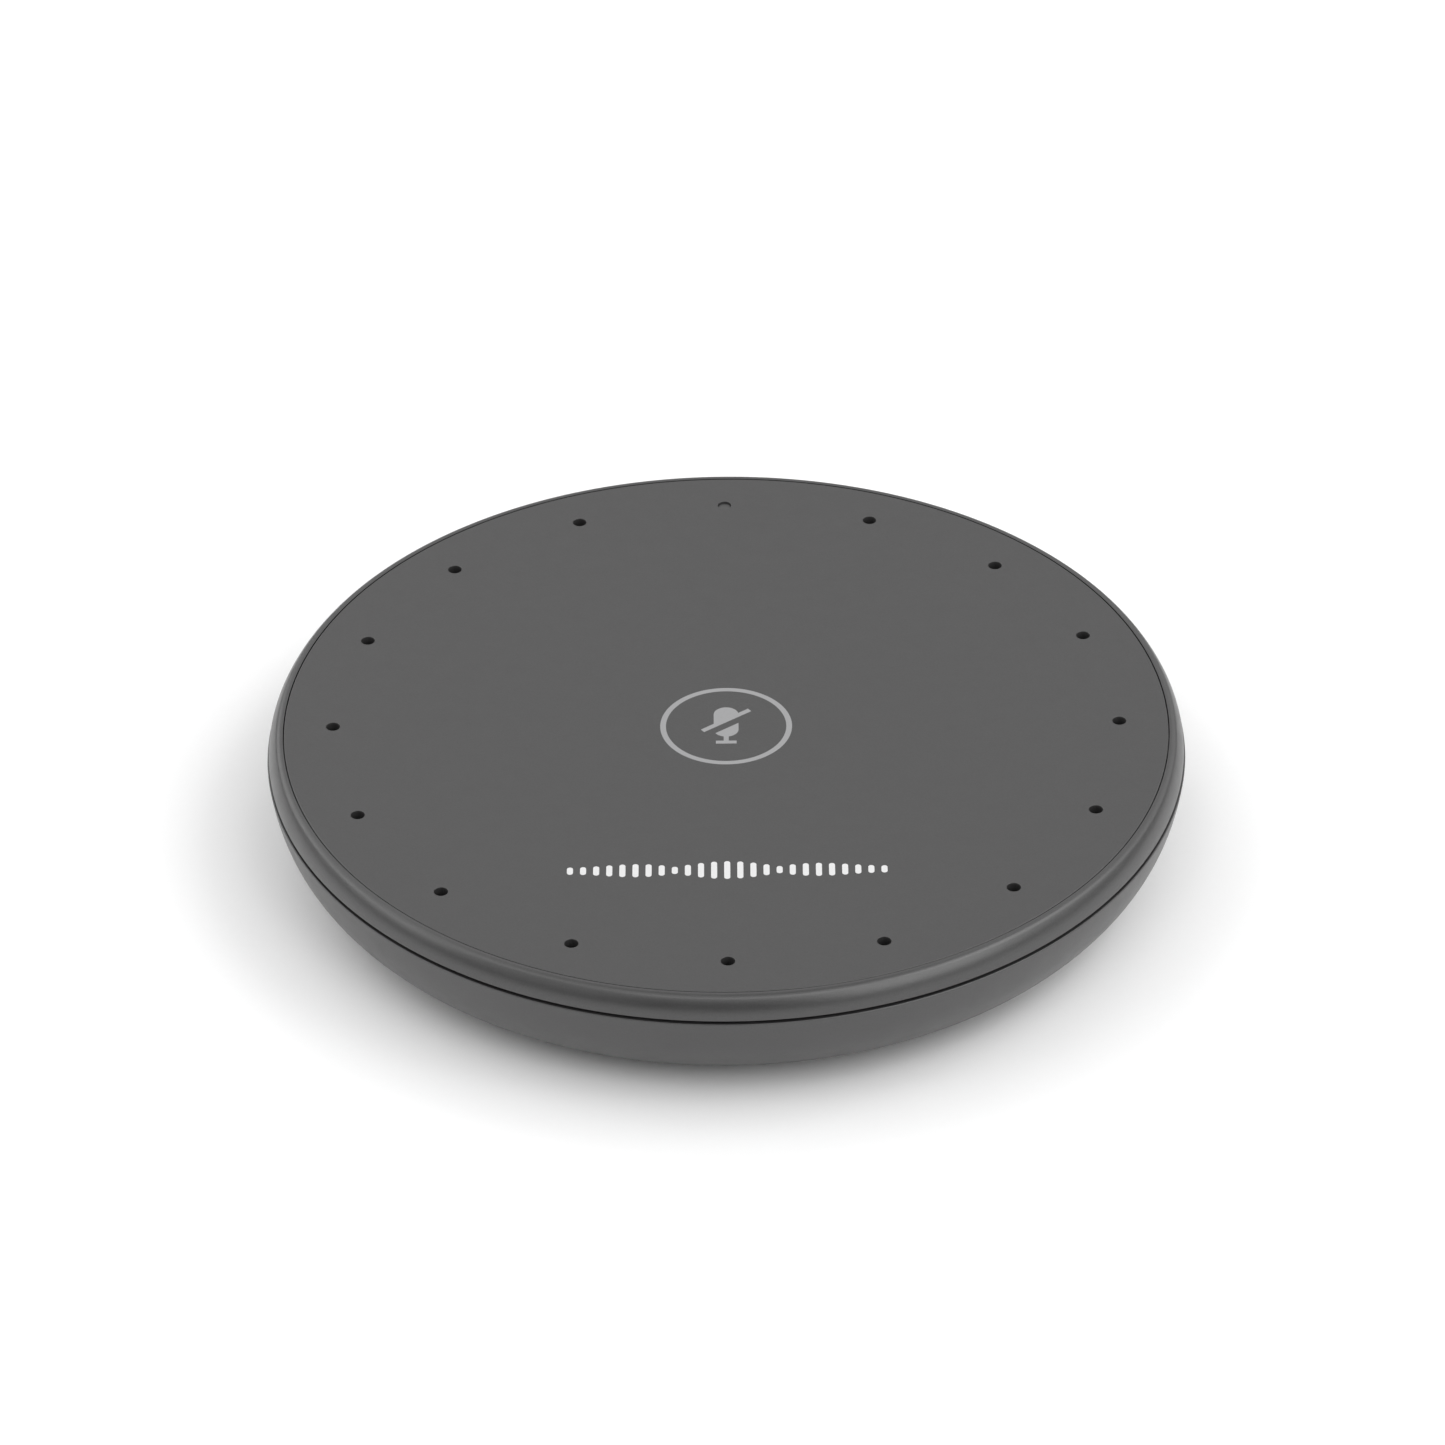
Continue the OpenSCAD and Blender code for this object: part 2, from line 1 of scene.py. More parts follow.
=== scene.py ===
"""Looks of a round table microphone for a conference system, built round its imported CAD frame.

The object is a flat panel with a ring of sound ports and a touch mute pad, a rim housing, a bowl-shaped
shell on rubber feet, and a socket bay under the rear edge. All lengths are in metres.
"""

import logging
import math
from dataclasses import dataclass, field
from enum import Enum
from typing import Any, Mapping, Optional, Sequence, Union

import bmesh
import bpy
from mathutils import Matrix, Vector


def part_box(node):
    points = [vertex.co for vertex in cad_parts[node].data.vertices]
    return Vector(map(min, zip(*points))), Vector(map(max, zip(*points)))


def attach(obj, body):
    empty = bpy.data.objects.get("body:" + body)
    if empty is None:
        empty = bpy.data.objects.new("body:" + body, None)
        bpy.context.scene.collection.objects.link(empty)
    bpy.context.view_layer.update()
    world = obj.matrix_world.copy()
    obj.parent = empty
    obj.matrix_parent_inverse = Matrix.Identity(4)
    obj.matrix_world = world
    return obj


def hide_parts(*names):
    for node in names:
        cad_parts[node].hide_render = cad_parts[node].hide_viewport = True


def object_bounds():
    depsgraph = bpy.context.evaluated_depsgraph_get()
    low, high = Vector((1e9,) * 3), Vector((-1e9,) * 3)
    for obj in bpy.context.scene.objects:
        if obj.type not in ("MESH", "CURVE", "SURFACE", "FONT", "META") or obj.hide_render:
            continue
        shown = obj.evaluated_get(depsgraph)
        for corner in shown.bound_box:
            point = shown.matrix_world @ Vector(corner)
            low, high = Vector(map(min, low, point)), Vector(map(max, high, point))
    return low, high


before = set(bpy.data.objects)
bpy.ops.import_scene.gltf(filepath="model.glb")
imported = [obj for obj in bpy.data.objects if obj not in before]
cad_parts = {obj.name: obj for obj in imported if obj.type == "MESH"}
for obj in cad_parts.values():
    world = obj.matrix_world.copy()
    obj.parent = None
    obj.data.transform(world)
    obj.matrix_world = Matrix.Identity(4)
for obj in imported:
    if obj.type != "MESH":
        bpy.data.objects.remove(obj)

CAD_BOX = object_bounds()
LOG = logging.getLogger("table_microphone")
MM = 0.001
HOUSING = "housing"
WELD = 4e-6
Point = tuple[float, float]
Point3 = tuple[float, float, float]
Colour = tuple[float, float, float]
Node, Object, Socket = bpy.types.Node, bpy.types.Object, bpy.types.NodeSocket
Value = Union[float, int, bool, str, Sequence[float], Socket, bpy.types.ID]
Inputs = Optional[Mapping[Any, Value]]


# ---------------------------------------------------------------- node trees and effects


class NodeTree:
    """Adds nodes to a tree, with their inputs given by name or number."""

    prefix = ""

    def __init__(self, tree: bpy.types.NodeTree) -> None:
        """Starts on a tree."""
        self.tree = tree

    def node(self, kind: str, inputs: Inputs = None, **settings: Any) -> Node:
        """Adds one node.

        Args:
            kind: the node's type, with or without the tree's own prefix.
            inputs: values or sockets, by input name or number.
            settings: properties of the node.

        Returns:
            The new node.
        """
        made = self.tree.nodes.new(kind if "Node" in kind else self.prefix + kind)
        for key, value in settings.items():
            setattr(made, key, value)
        for key, value in (inputs or {}).items():
            if isinstance(value, Socket):
                self.link(value, made.inputs[key])
            else:
                made.inputs[key].default_value = value
        return made

    def link(self, value: Socket, target: Socket) -> None:
        """Links a value to an input."""
        self.tree.links.new(value, target)

    def out(self, kind: str, inputs: Inputs = None, **settings: Any) -> Socket:
        """Adds one node and returns its first output."""
        return self.node(kind, inputs, **settings).outputs[0]

    def math(self, operation: str, first: Value, second: Value = 0.0) -> Socket:
        """Adds a Math node and returns its output."""
        return self.out("ShaderNodeMath", {0: first, 1: second}, operation=operation)


class ShaderTree(NodeTree):
    """A material's shader tree."""

    prefix = "ShaderNode"

    def ranged(self, value: Value, middle: float, reach: float) -> Socket:
        """Returns a 0 to 1 value stretched to run from middle - reach to middle + reach."""
        return self.out("MapRange", {"Value": value, "To Min": middle - reach, "To Max": middle + reach})

    def bump(self, surface: Node, height: Socket, depth: float) -> None:
        """Bumps a surface by a height from 0 to 1 of the depth given."""
        self.link(self.out("Bump", {"Height": height, "Distance": depth}), surface.inputs["Normal"])


class EffectGroup(ShaderTree):
    """A shader node group with named inputs and outputs, shared by several materials."""

    def __init__(self, name: str, inputs: Mapping[str, float], outputs: Sequence[str]) -> None:
        """Makes the group's sockets.

        Args:
            name: the group's name.
            inputs: the value inputs and their defaults; a Vector input is added first.
            outputs: the value outputs.
        """
        super().__init__(bpy.data.node_groups.new(name, "ShaderNodeTree"))
        sockets = self.tree.interface
        sockets.new_socket("Vector", in_out="INPUT", socket_type="NodeSocketVector")
        for label, value in inputs.items():
            sockets.new_socket(label, in_out="INPUT", socket_type="NodeSocketFloat").default_value = value
        for label in outputs:
            sockets.new_socket(label, in_out="OUTPUT", socket_type="NodeSocketFloat")
        self.source, self.sink = self.node("NodeGroupInput"), self.node("NodeGroupOutput")

    def give(self, output: str, value: Socket) -> None:
        """Links a value to one of the group's outputs."""
        self.link(value, self.sink.inputs[output])

    def placed(self, shader: ShaderTree, inputs: Mapping[str, Value]) -> Node:
        """Places the group in a material's tree and returns the group node."""
        return shader.node("Group", inputs, node_tree=self.tree)


def make_grain_group() -> EffectGroup:
    """Builds the fine moulded or sprayed grain: a speckle for the colour and a height for the bump.

    Returns:
        The group, with outputs Speckle and Height from 0 to 1.
    """
    group = EffectGroup("fine_grain", {"Grain Size": 0.25 * MM, "Roundness": 0.5}, ["Speckle", "Height"])
    given = group.source.outputs
    place = {"Vector": given["Vector"], "Scale": group.math("DIVIDE", 1.0, given["Grain Size"])}
    noise = group.out("TexNoise", {**place, "Detail": 3.0, "Roughness": 0.65})
    cells = group.node("TexVoronoi", place, feature="SMOOTH_F1").outputs["Distance"]
    pebble = group.math("MULTIPLY", cells, given["Roundness"])
    group.give("Speckle", group.out("MapRange", {"Value": noise, "From Min": 0.3, "From Max": 0.7}))
    group.give("Height", group.math("ADD", group.math("MULTIPLY", noise, 0.6), pebble))
    return group


def make_drift_group() -> EffectGroup:
    """Builds the slow drift of tone and gloss that a sprayed or moulded surface has over centimetres.

    Returns:
        The group, with outputs Tone and Gloss from 0 to 1.
    """
    group = EffectGroup("slow_drift", {"Patch Size": 30 * MM}, ["Tone", "Gloss"])
    given = group.source.outputs
    scale = group.math("DIVIDE", 1.0, given["Patch Size"])
    for output, times, detail, roughness in (("Tone", 1.0, 2.0, 0.5), ("Gloss", 6.0, 4.0, 0.6)):
        group.give(output, group.out("TexNoise", {
            "Vector": given["Vector"], "Scale": group.math("MULTIPLY", scale, times), "Detail": detail,
            "Roughness": roughness}))
    return group


GRAIN = make_grain_group()
DRIFT = make_drift_group()


# ---------------------------------------------------------------- finishes


def scaled(colour: Colour, share: float) -> tuple[float, ...]:
    """Returns a colour scaled by share, with alpha 1."""
    return (*(value * share for value in colour), 1.0)


@dataclass(frozen=True)
class Finish:
    """A surface with fine grain and slow drift, which every finish of this object builds on."""

    name: str
    colour: Colour
    roughness: float
    metallic: float = 0.0
    specular: float = 0.5
    grain_size: float = 0.25 * MM
    grain_tint: float = 0.08
    grain_depth: float = 0.004 * MM
    gloss_spread: float = 0.06
    drift_size: float = 30 * MM
    drift_tint: float = 0.03
    coat: float = 0.0
    coat_roughness: float = 0.3
    slot: str = ""

    def build(self) -> bpy.types.Material:
        """Builds the material.

        Returns:
            The new material.
        """
        material = bpy.data.materials.new(self.name)
        material.use_nodes = True
        material.node_tree.nodes.clear()
        shader = ShaderTree(material.node_tree)
        surface = shader.node("BsdfPrincipled", {
            "Metallic": self.metallic, "Specular IOR Level": self.specular, "Coat Weight": self.coat,
            "Coat Roughness": self.coat_roughness})
        self.dress(shader, surface, shader.node("TexCoord").outputs["Object"])
        shader.node("OutputMaterial", {"Surface": surface.outputs[0]})
        return material

    def dress(self, shader: ShaderTree, surface: Node, place: Socket) -> None:
        """Links colour, roughness and bump to the surface.

        Args:
            shader: the material's tree.
            surface: the Principled BSDF.
            place: Object coordinates.
        """
        grain = GRAIN.placed(shader, {"Vector": place, "Grain Size": self.grain_size})
        drift = DRIFT.placed(shader, {"Vector": place, "Patch Size": self.drift_size})
        speckled = shader.node("Mix", {
            0: grain.outputs["Speckle"], 6: scaled(self.colour, 1 - self.grain_tint),
            7: scaled(self.colour, 1 + self.grain_tint)}, data_type="RGBA").outputs[2]
        tone = shader.ranged(drift.outputs["Tone"], 1.0, self.drift_tint)
        gloss = shader.ranged(drift.outputs["Gloss"], self.roughness, self.gloss_spread)
        shader.link(shader.out("VectorMath", {0: speckled, "Scale": tone}, operation="SCALE"),
                    surface.inputs["Base Color"])
        shader.link(gloss, surface.inputs["Roughness"])
        shader.bump(surface, grain.outputs["Height"], self.grain_depth)


@dataclass(frozen=True)
class WovenCloth(Finish):
    """Acoustic cloth: a fine square weave over the base finish."""

    thread: float = 0.12 * MM
    weave_depth: float = 0.03 * MM

    def dress(self, shader: ShaderTree, surface: Node, place: Socket) -> None:
        """Bumps the base finish by a weave.

        Args:
            shader: the material's tree.
            surface: the Principled BSDF.
            place: Object coordinates.
        """
        super().dress(shader, surface, place)
        waves = [shader.node("TexWave", {"Vector": place, "Scale": 1 / self.thread / math.tau},
                             bands_direction=axis, wave_profile="SIN").outputs[1] for axis in "XY"]
        shader.bump(surface, shader.math("MULTIPLY", *waves), self.weave_depth)


@dataclass(frozen=True)
class SolderMask(Finish):
    """Circuit board lacquer over copper tracks: the tracks show as a slightly lighter raised pattern."""

    cell: float = 4.8 * MM
    track_depth: float = 0.03 * MM

    def dress(self, shader: ShaderTree, surface: Node, place: Socket) -> None:
        """Gives the base finish the tracks' colour and bump.

        Args:
            shader: the material's tree.
            surface: the Principled BSDF.
            place: Object coordinates.
        """
        super().dress(shader, surface, place)
        tracks = shader.node("TexBrick", {
            "Vector": place, "Scale": 1 / self.cell, "Mortar Size": 0.035, "Brick Width": 2.6,
            "Color1": scaled(self.colour, 0.94), "Color2": scaled(self.colour, 1.06),
            "Mortar": scaled(self.colour, 1.5)}, offset=0.37, offset_frequency=3)
        shader.link(tracks.outputs[0], surface.inputs["Base Color"])
        shader.bump(surface, tracks.outputs[1], self.track_depth)


SATIN_GREY = (0.0235, 0.0229, 0.0232)
PANEL_COAT = Finish("panel_coat", SATIN_GREY, 0.46, specular=0.95, grain_size=0.35 * MM, grain_tint=0.2,
                    grain_depth=0.012 * MM, drift_tint=0.02)
SHELL_COAT = Finish("shell_coat", SATIN_GREY, 0.36, specular=0.95, grain_size=0.35 * MM, grain_tint=0.25,
                    grain_depth=0.014 * MM, drift_tint=0.02)
INK_GREY = Finish("light_window", (0.272, 0.272, 0.276), 0.5, grain_size=0.2 * MM, grain_tint=0.03)
INK_WHITE = Finish("front_print", (0.63, 0.63, 0.63), 0.45, grain_size=0.2 * MM, grain_tint=0.02,
                   slot="light_window")
STATUS_LENS = Finish("status_lens", (0.055, 0.055, 0.055), 0.35, grain_tint=0.02, grain_depth=0.001 * MM)
CLEAR_GUIDE = Finish("clear_guide", (0.85, 0.85, 0.88), 0.25, grain_tint=0.01, grain_depth=0.001 * MM, coat=0.3)
FOOT_RUBBER = Finish("foot_rubber", (0.022, 0.022, 0.022), 0.75, grain_size=0.4 * MM, grain_tint=0.2)
FOAM = Finish("gasket_foam", (0.03, 0.03, 0.03), 0.9, grain_size=0.3 * MM, grain_tint=0.3,
              grain_depth=0.03 * MM)
PORT_CLOTH = WovenCloth("mesh_cloth", (0.006, 0.006, 0.006), 0.9, specular=0.15)
TAPE = Finish("tape", (0.03, 0.03, 0.03), 0.5)
BLACK_STEEL = Finish("black_steel", (0.05, 0.05, 0.055), 0.35, metallic=1.0, grain_tint=0.15)
BRIGHT_STEEL = Finish("bright_steel", (0.6, 0.6, 0.62), 0.28, metallic=1.0, grain_tint=0.05)
BALLAST_STEEL = Finish("ballast_steel", (0.5, 0.51, 0.53), 0.45, metallic=1.0, grain_size=2 * MM,
                       grain_tint=0.12)
LABEL_FILM = Finish("label_film", (0.5, 0.5, 0.51), 0.4, metallic=0.3, grain_tint=0.02)
BOARD = SolderMask("circuit_board", (0.01, 0.09, 0.045), 0.35)
CHIP = Finish("chip_black", (0.02, 0.02, 0.022), 0.55, grain_tint=0.2)
MIC_CAN = Finish("mic_can", (0.8, 0.62, 0.3), 0.3, metallic=1.0)
LED_LENS = Finish("led_lens", (0.85, 0.78, 0.5), 0.25, coat=0.5)
AMBER_FILM = Finish("film_amber", (0.42, 0.2, 0.03), 0.3, coat=0.4)
IVORY = Finish("connector_ivory", (0.68, 0.63, 0.5), 0.45)
THERMAL = Finish("pad_blue", (0.3, 0.42, 0.6), 0.8, grain_size=0.5 * MM, grain_tint=0.1)
TIN = Finish("shield_tin", (0.62, 0.62, 0.63), 0.3, metallic=1.0, grain_size=0.4 * MM, grain_tint=0.05)
COIL_TAPE = Finish("coil_tape", (0.62, 0.42, 0.04), 0.35)
CAN_ALUMINIUM = Finish("capacitor_can", (0.55, 0.56, 0.58), 0.35, metallic=1.0)
FERRITE = Finish("ferrite", (0.05, 0.05, 0.055), 0.6, grain_size=0.4 * MM, grain_tint=0.3)
SOCKET_BLACK = Finish("socket_black", (0.014, 0.014, 0.014), 0.4)
LAMP = Finish("socket_lamp", (0.34, 0.37, 0.2), 0.3, grain_tint=0.02, coat=0.4, slot="led_lens")
GOLD = Finish("contact_gold", (0.9, 0.62, 0.2), 0.22, metallic=1.0)
OFF_WHITE = Finish("plunger_white", (0.7, 0.7, 0.71), 0.4)
FLOOR_PAPER = Finish("floor_paper", (0.9, 0.9, 0.9), 0.8, grain_size=1.5 * MM, grain_tint=0.004,
                     drift_tint=0.002)

CAD_FINISHES: dict[Finish, tuple[str, ...]] = {
    TAPE: ("panel_tape",),
    BALLAST_STEEL: ("ballast_plate",),
    BRIGHT_STEEL: ("ballast_screws", "mic_board_screws", "touch_board_screws", "board_screws"),
    BOARD: ("microphone_board", "touch_board", "main_board"),
    MIC_CAN: ("mems_microphones",),
    FOAM: ("microphone_gaskets",),
    PORT_CLOTH: ("acoustic_meshes",),
    LED_LENS: ("status_led", "mute_leds"),
    AMBER_FILM: ("touch_film", "mic_ribbon"),
    CLEAR_GUIDE: ("mute_light_guide",),
    CHIP: ("touch_controller", "processor", "memory_chips", "audio_codec", "ethernet_phy",
           "network_magnetics"),
    IVORY: ("touch_connector", "ribbon_connectors"),
    TIN: ("shield_frame", "shield_lid"),
    THERMAL: ("thermal_pad",),
    COIL_TAPE: ("power_transformer",),
    CAN_ALUMINIUM: ("bulk_capacitors",),
    FERRITE: ("power_inductor",),
    SOCKET_BLACK: ("ethernet_jack_body", "usb_socket_tongue", "reset_switch_body"),
    OFF_WHITE: ("reset_plunger",),
}

MATERIALS: dict[str, bpy.types.Material] = {}


def paint(piece: Object, finish: Finish) -> None:
    """Gives a piece a finish in place of any that it has."""
    piece.data.materials.clear()
    piece.data.materials.append(material_of(finish))


def material_of(finish: Finish) -> bpy.types.Material:
    """Returns a finish's material, built the first time it is asked for.

    Args:
        finish: the finish.

    Returns:
        Its material.
    """
    if finish.name not in MATERIALS:
        MATERIALS[finish.name] = finish.build()
    return MATERIALS[finish.name]


# ---------------------------------------------------------------- mesh building


class Combine(Enum):
    """How tools act on a solid."""

    CUT = "DIFFERENCE"
    JOIN = "UNION"


def arc(centre: Point, radius: float, start: float, end: float, steps: int) -> list[Point]:
    """Returns the points of an arc.

    Args:
        centre: the arc's centre.
        radius: its radius.
        start: the first point's angle in degrees.
        end: the last point's angle in degrees.
        steps: how many chords it has.

    Returns:
        steps + 1 points.
    """
    angles = [math.radians(start + (end - start) * i / steps) for i in range(steps + 1)]
    return [(centre[0] + radius * math.cos(a), centre[1] + radius * math.sin(a)) for a in angles]


def new_object(name: str, data: bpy.types.ID) -> Object:
    """Makes an object at the origin and links it to the scene.

    Args:
        name: the object's name.
        data: its mesh, light or camera.

    Returns:
        The new object.
    """
    made = bpy.data.objects.new(name, data)
    bpy.context.scene.collection.objects.link(made)
    return made


def mesh_object(name: str, points: Sequence[Sequence[float]], faces: Sequence[Sequence[int]],
                edges: Sequence[Sequence[int]] = ()) -> Object:
    """Makes a mesh object of points, edges and faces, with its normals outwards.

    Args:
        name: the object's name.
        points: the corners.
        faces: the corner numbers of each face.
        edges: the corner numbers of each loose edge.

    Returns:
        The new object.
    """
    mesh = bpy.data.meshes.new(name)
    mesh.from_pydata([tuple(p) for p in points], list(edges), list(faces))
    tidy_mesh(mesh)
    return new_object(name, mesh)


def tidy_mesh(mesh: bpy.types.Mesh) -> None:
    """Merges doubled corners, drops faces of no area and turns every face outwards.

    Args:
        mesh: the mesh to change.
    """
    work = bmesh.new()
    work.from_mesh(mesh)
    bmesh.ops.remove_doubles(work, verts=work.verts, dist=WELD)
    bmesh.ops.dissolve_degenerate(work, dist=WELD / 10, edges=work.edges)
    bmesh.ops.recalc_face_normals(work, faces=work.faces)
    work.to_mesh(mesh)
    work.free()


def revolve(name: str, outline: Sequence[Point], facets: int) -> Object:
    """Turns a closed outline of (radius, height) points about +Z.

    Args:
        name: the object's name.
        outline: the outline; points at radius 0 become single corners.
        facets: steps round the axis.

    Returns:
        The solid.
    """
    points: list[Point3] = []
    columns: list[list[int]] = []
    turns = [math.tau * i / facets for i in range(facets)]
    for radius, height in outline:
        if radius < WELD:
            columns.append([len(points)] * facets)
            points.append((0.0, 0.0, height))
        else:
            columns.append(list(range(len(points), len(points) + facets)))
            points += [(radius * math.cos(turn), radius * math.sin(turn), height) for turn in turns]
    faces = []
    for here, there in zip(columns, columns[1:] + columns[:1]):
        for i, j in zip(range(facets), [*range(1, facets), 0]):
            corners = list(dict.fromkeys([here[i], here[j], there[j], there[i]]))
            if len(corners) > 2:
                faces.append(corners)
    return mesh_object(name, points, faces)


def prism(name: str, loop: Sequence[Point], *more: Sequence[Point], low: float, high: float) -> Object:
    """Stands closed outlines up as prisms, in one mesh.

    Args:
        name: the object's name.
        loop: an outline.
        more: further outlines, none inside another.
        low: the bottom's height.
        high: the top's height.

    Returns:
        The solids.
    """
    points: list[Point3] = []
    faces: list[Sequence[int]] = []
    for outline in (loop, *more):
        first, count = len(points), len(outline)
        points += [(x, y, z) for z in (low, high) for x, y in outline]
        faces += [range(first, first + count), range(first + count, first + 2 * count)]
        faces += [[first + i, first + j, first + count + j, first + count + i]
                  for i, j in zip(range(count), [*range(1, count), 0])]
    return mesh_object(name, points, faces)


def block(name: str, low: Sequence[float], high: Sequence[float], edge: float = 0.0, steps: int = 2) -> Object:
    """Makes a box, with rounded edges where edge is above 0.

    Args:
        name: the object's name.
        low: the lowest corner.
        high: the highest corner.
        edge: the radius of its edges.
        steps: chords in each rounded edge.

    Returns:
        The box.
    """
    work = bmesh.new()
    bmesh.ops.create_cube(work, size=1.0)
    size = [b - a for a, b in zip(low, high)]
    middle = [(a + b) / 2 for a, b in zip(low, high)]
    work.transform(Matrix.Translation(middle) @ Matrix.Diagonal((*size, 1.0)))
    if edge > 0:
        bmesh.ops.bevel(work, geom=work.edges[:], offset=edge, segments=steps, profile=0.5, affect="EDGES")
    mesh = bpy.data.meshes.new(name)
    work.to_mesh(mesh)
    work.free()
    return new_object(name, mesh)


def moved(piece: Object, x: float = 0.0, y: float = 0.0, z: float = 0.0, lay: bool = False) -> Object:
    """Moves a piece's mesh.

    Args:
        piece: the piece.
        x: how far along +X.
        y: how far along +Y.
        z: how far along +Z.
        lay: whether to turn its Z axis to +Y first.

    Returns:
        The same object.
    """
    turn = Matrix.Rotation(math.radians(-90), 4, "X") if lay else Matrix()
    piece.data.transform(Matrix.Translation((x, y, z)) @ turn)
    return piece


def bake(piece: Object) -> None:
    """Turns a piece's modifiers into plain mesh and removes them.

    Args:
        piece: an object with modifiers.
    """
    bpy.context.view_layer.update()
    evaluated = piece.evaluated_get(bpy.context.evaluated_depsgraph_get())
    mesh = bpy.data.meshes.new_from_object(evaluated)
    piece.modifiers.clear()
    piece.data = mesh
    mesh.name = piece.name


def combine(piece: Object, how: Combine, *tools: Object) -> Object:
    """Cuts tools out of a piece, or joins them to it, and deletes the tools.

    Args:
        piece: the solid that stays.
        how: whether to cut or to join.
        tools: the solids that are used up.

    Returns:
        The same object.
    """
    for tool in tools:
        step = piece.modifiers.new("step", "BOOLEAN")
        step.object, step.operation, step.solver = tool, how.value, "MANIFOLD"
    bake(piece)
    for tool in tools:
        bpy.data.objects.remove(tool)
    return piece


def shade(piece: Object, angle: float) -> None:
    """Smooths the curved faces and keeps the level faces and the sharp edges.

    Args:
        piece: the piece.
        angle: the least angle of a sharp edge, in degrees.
    """
    level = 0.9999
    piece.data.set_sharp_from_angle(angle=math.radians(angle))
    for face in piece.data.polygons:
        face.use_smooth = abs(face.normal.z) < level


def middle_of(node: str) -> Vector:
    """Returns the middle of a CAD node's box."""
    low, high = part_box(node)
    return (low + high) / 2


# ---------------------------------------------------------------- geometry nodes


class ShapeTree(NodeTree):
    """A Geometry Nodes group with named inputs for its sizes, which works on the object that carries it."""

    prefix = "GeometryNode"

    def __init__(self, name: str) -> None:
        """Starts a group with a geometry input and output.

        Args:
            name: the group's name.
        """
        super().__init__(bpy.data.node_groups.new(name, "GeometryNodeTree"))
        self.tree.is_modifier = True
        for side in ("INPUT", "OUTPUT"):
            self.tree.interface.new_socket("Geometry", in_out=side, socket_type="NodeSocketGeometry")
        self.source, self.sink = self.node("NodeGroupInput"), self.node("NodeGroupOutput")
        self.keys: dict[str, str] = {}

    @property
    def base(self) -> Socket:
        """The geometry of the object that carries the modifier."""
        return self.source.outputs["Geometry"]

    def take(self, kind: str, *labels: str) -> list[Socket]:
        """Adds named inputs.

        Args:
            kind: their socket type, such as Float or Int.
            labels: their names.

        Returns:
            The sockets to link from.
        """
        for label in labels:
            made = self.tree.interface.new_socket(label, in_out="INPUT", socket_type="NodeSocket" + kind)
            self.keys[label] = made.identifier
        return [self.source.outputs[label] for label in labels]

    def vector(self, x: Value = 0.0, y: Value = 0.0, z: Value = 0.0) -> Socket:
        """Joins three values into a vector."""
        return self.out("ShaderNodeCombineXYZ", {0: x, 1: y, 2: z})

    def moved(self, shape: Socket, x: Value = 0.0, y: Value = 0.0, z: Value = 0.0) -> Socket:
        """Moves a geometry."""
        return self.out("Transform", {"Geometry": shape, "Translation": self.vector(x, y, z)})

    def copies(self, points: Socket, shape: Socket) -> Socket:
        """Puts a copy of a shape at every point."""
        return self.out("InstanceOnPoints", {"Points": points, "Instance": shape})

    def realized(self, shape: Socket) -> Socket:
        """Makes real geometry of instances."""
        return self.out("RealizeInstances", {"Geometry": shape})

    def joined(self, *shapes: Socket) -> Socket:
        """Joins geometries, in the order given.

        Args:
            shapes: the geometries.

        Returns:
            The joined geometry.
        """
        made = self.node("JoinGeometry")
        for shape in reversed(shapes):
            self.link(shape, made.inputs[0])
        return made.outputs[0]

    def loop(self, radius: Value, facets: Value) -> Socket:
        """Makes a circle of edges."""
        return self.out("MeshCircle", {"Vertices": facets, "Radius": radius})

    def band(self, facets: Value, low: Sequence[Value], high: Sequence[Value]) -> Socket:
        """Makes the wall between two circles.

        Args:
            facets: steps round the wall.
            low: the lower circle's radius and height.
            high: the higher circle's radius and height.

        Returns:
            The wall.
        """
        wall = self.out("MeshCone", {
            "Vertices": facets, "Radius Bottom": low[0], "Radius Top": high[0],
            "Depth": self.math("SUBTRACT", high[1], low[1])}, fill_type="NONE")
        return self.moved(wall, z=low[1])

    def sheet(self, *loops: Socket) -> Socket:
        """Fills the level area between closed loops of edges."""
        return self.out("FillCurve", {"Curve": self.out("MeshToCurve", {"Mesh": self.joined(*loops)})})

    def close(self, shape: Socket) -> None:
        """Ends the tree: instances realized, seams merged and the material set.

        Args:
            shape: the finished geometry.
        """
        merged = self.out("MergeByDistance", {"Geometry": self.realized(shape), "Distance": WELD})
        painted = self.out("SetMaterial", {"Geometry": merged, "Material": self.take("Material", "Finish")[0]})
        self.link(painted, self.sink.inputs["Geometry"])

    def apply(self, piece: Object, finish: Finish, values: Mapping[str, Any]) -> Object:
        """Runs the tree on a piece and keeps the result as its plain mesh.

        Args:
            piece: the object to work on.
            finish: the finish that the tree sets.
            values: the named inputs.

        Returns:
            The same object.
        """
        modifier = piece.modifiers.new(self.tree.name, "NODES")
        modifier.node_group = self.tree
        for label, value in {**values, "Finish": material_of(finish)}.items():
            modifier[self.keys[label]] = value
        bake(piece)
        tidy_mesh(piece.data)
        return piece


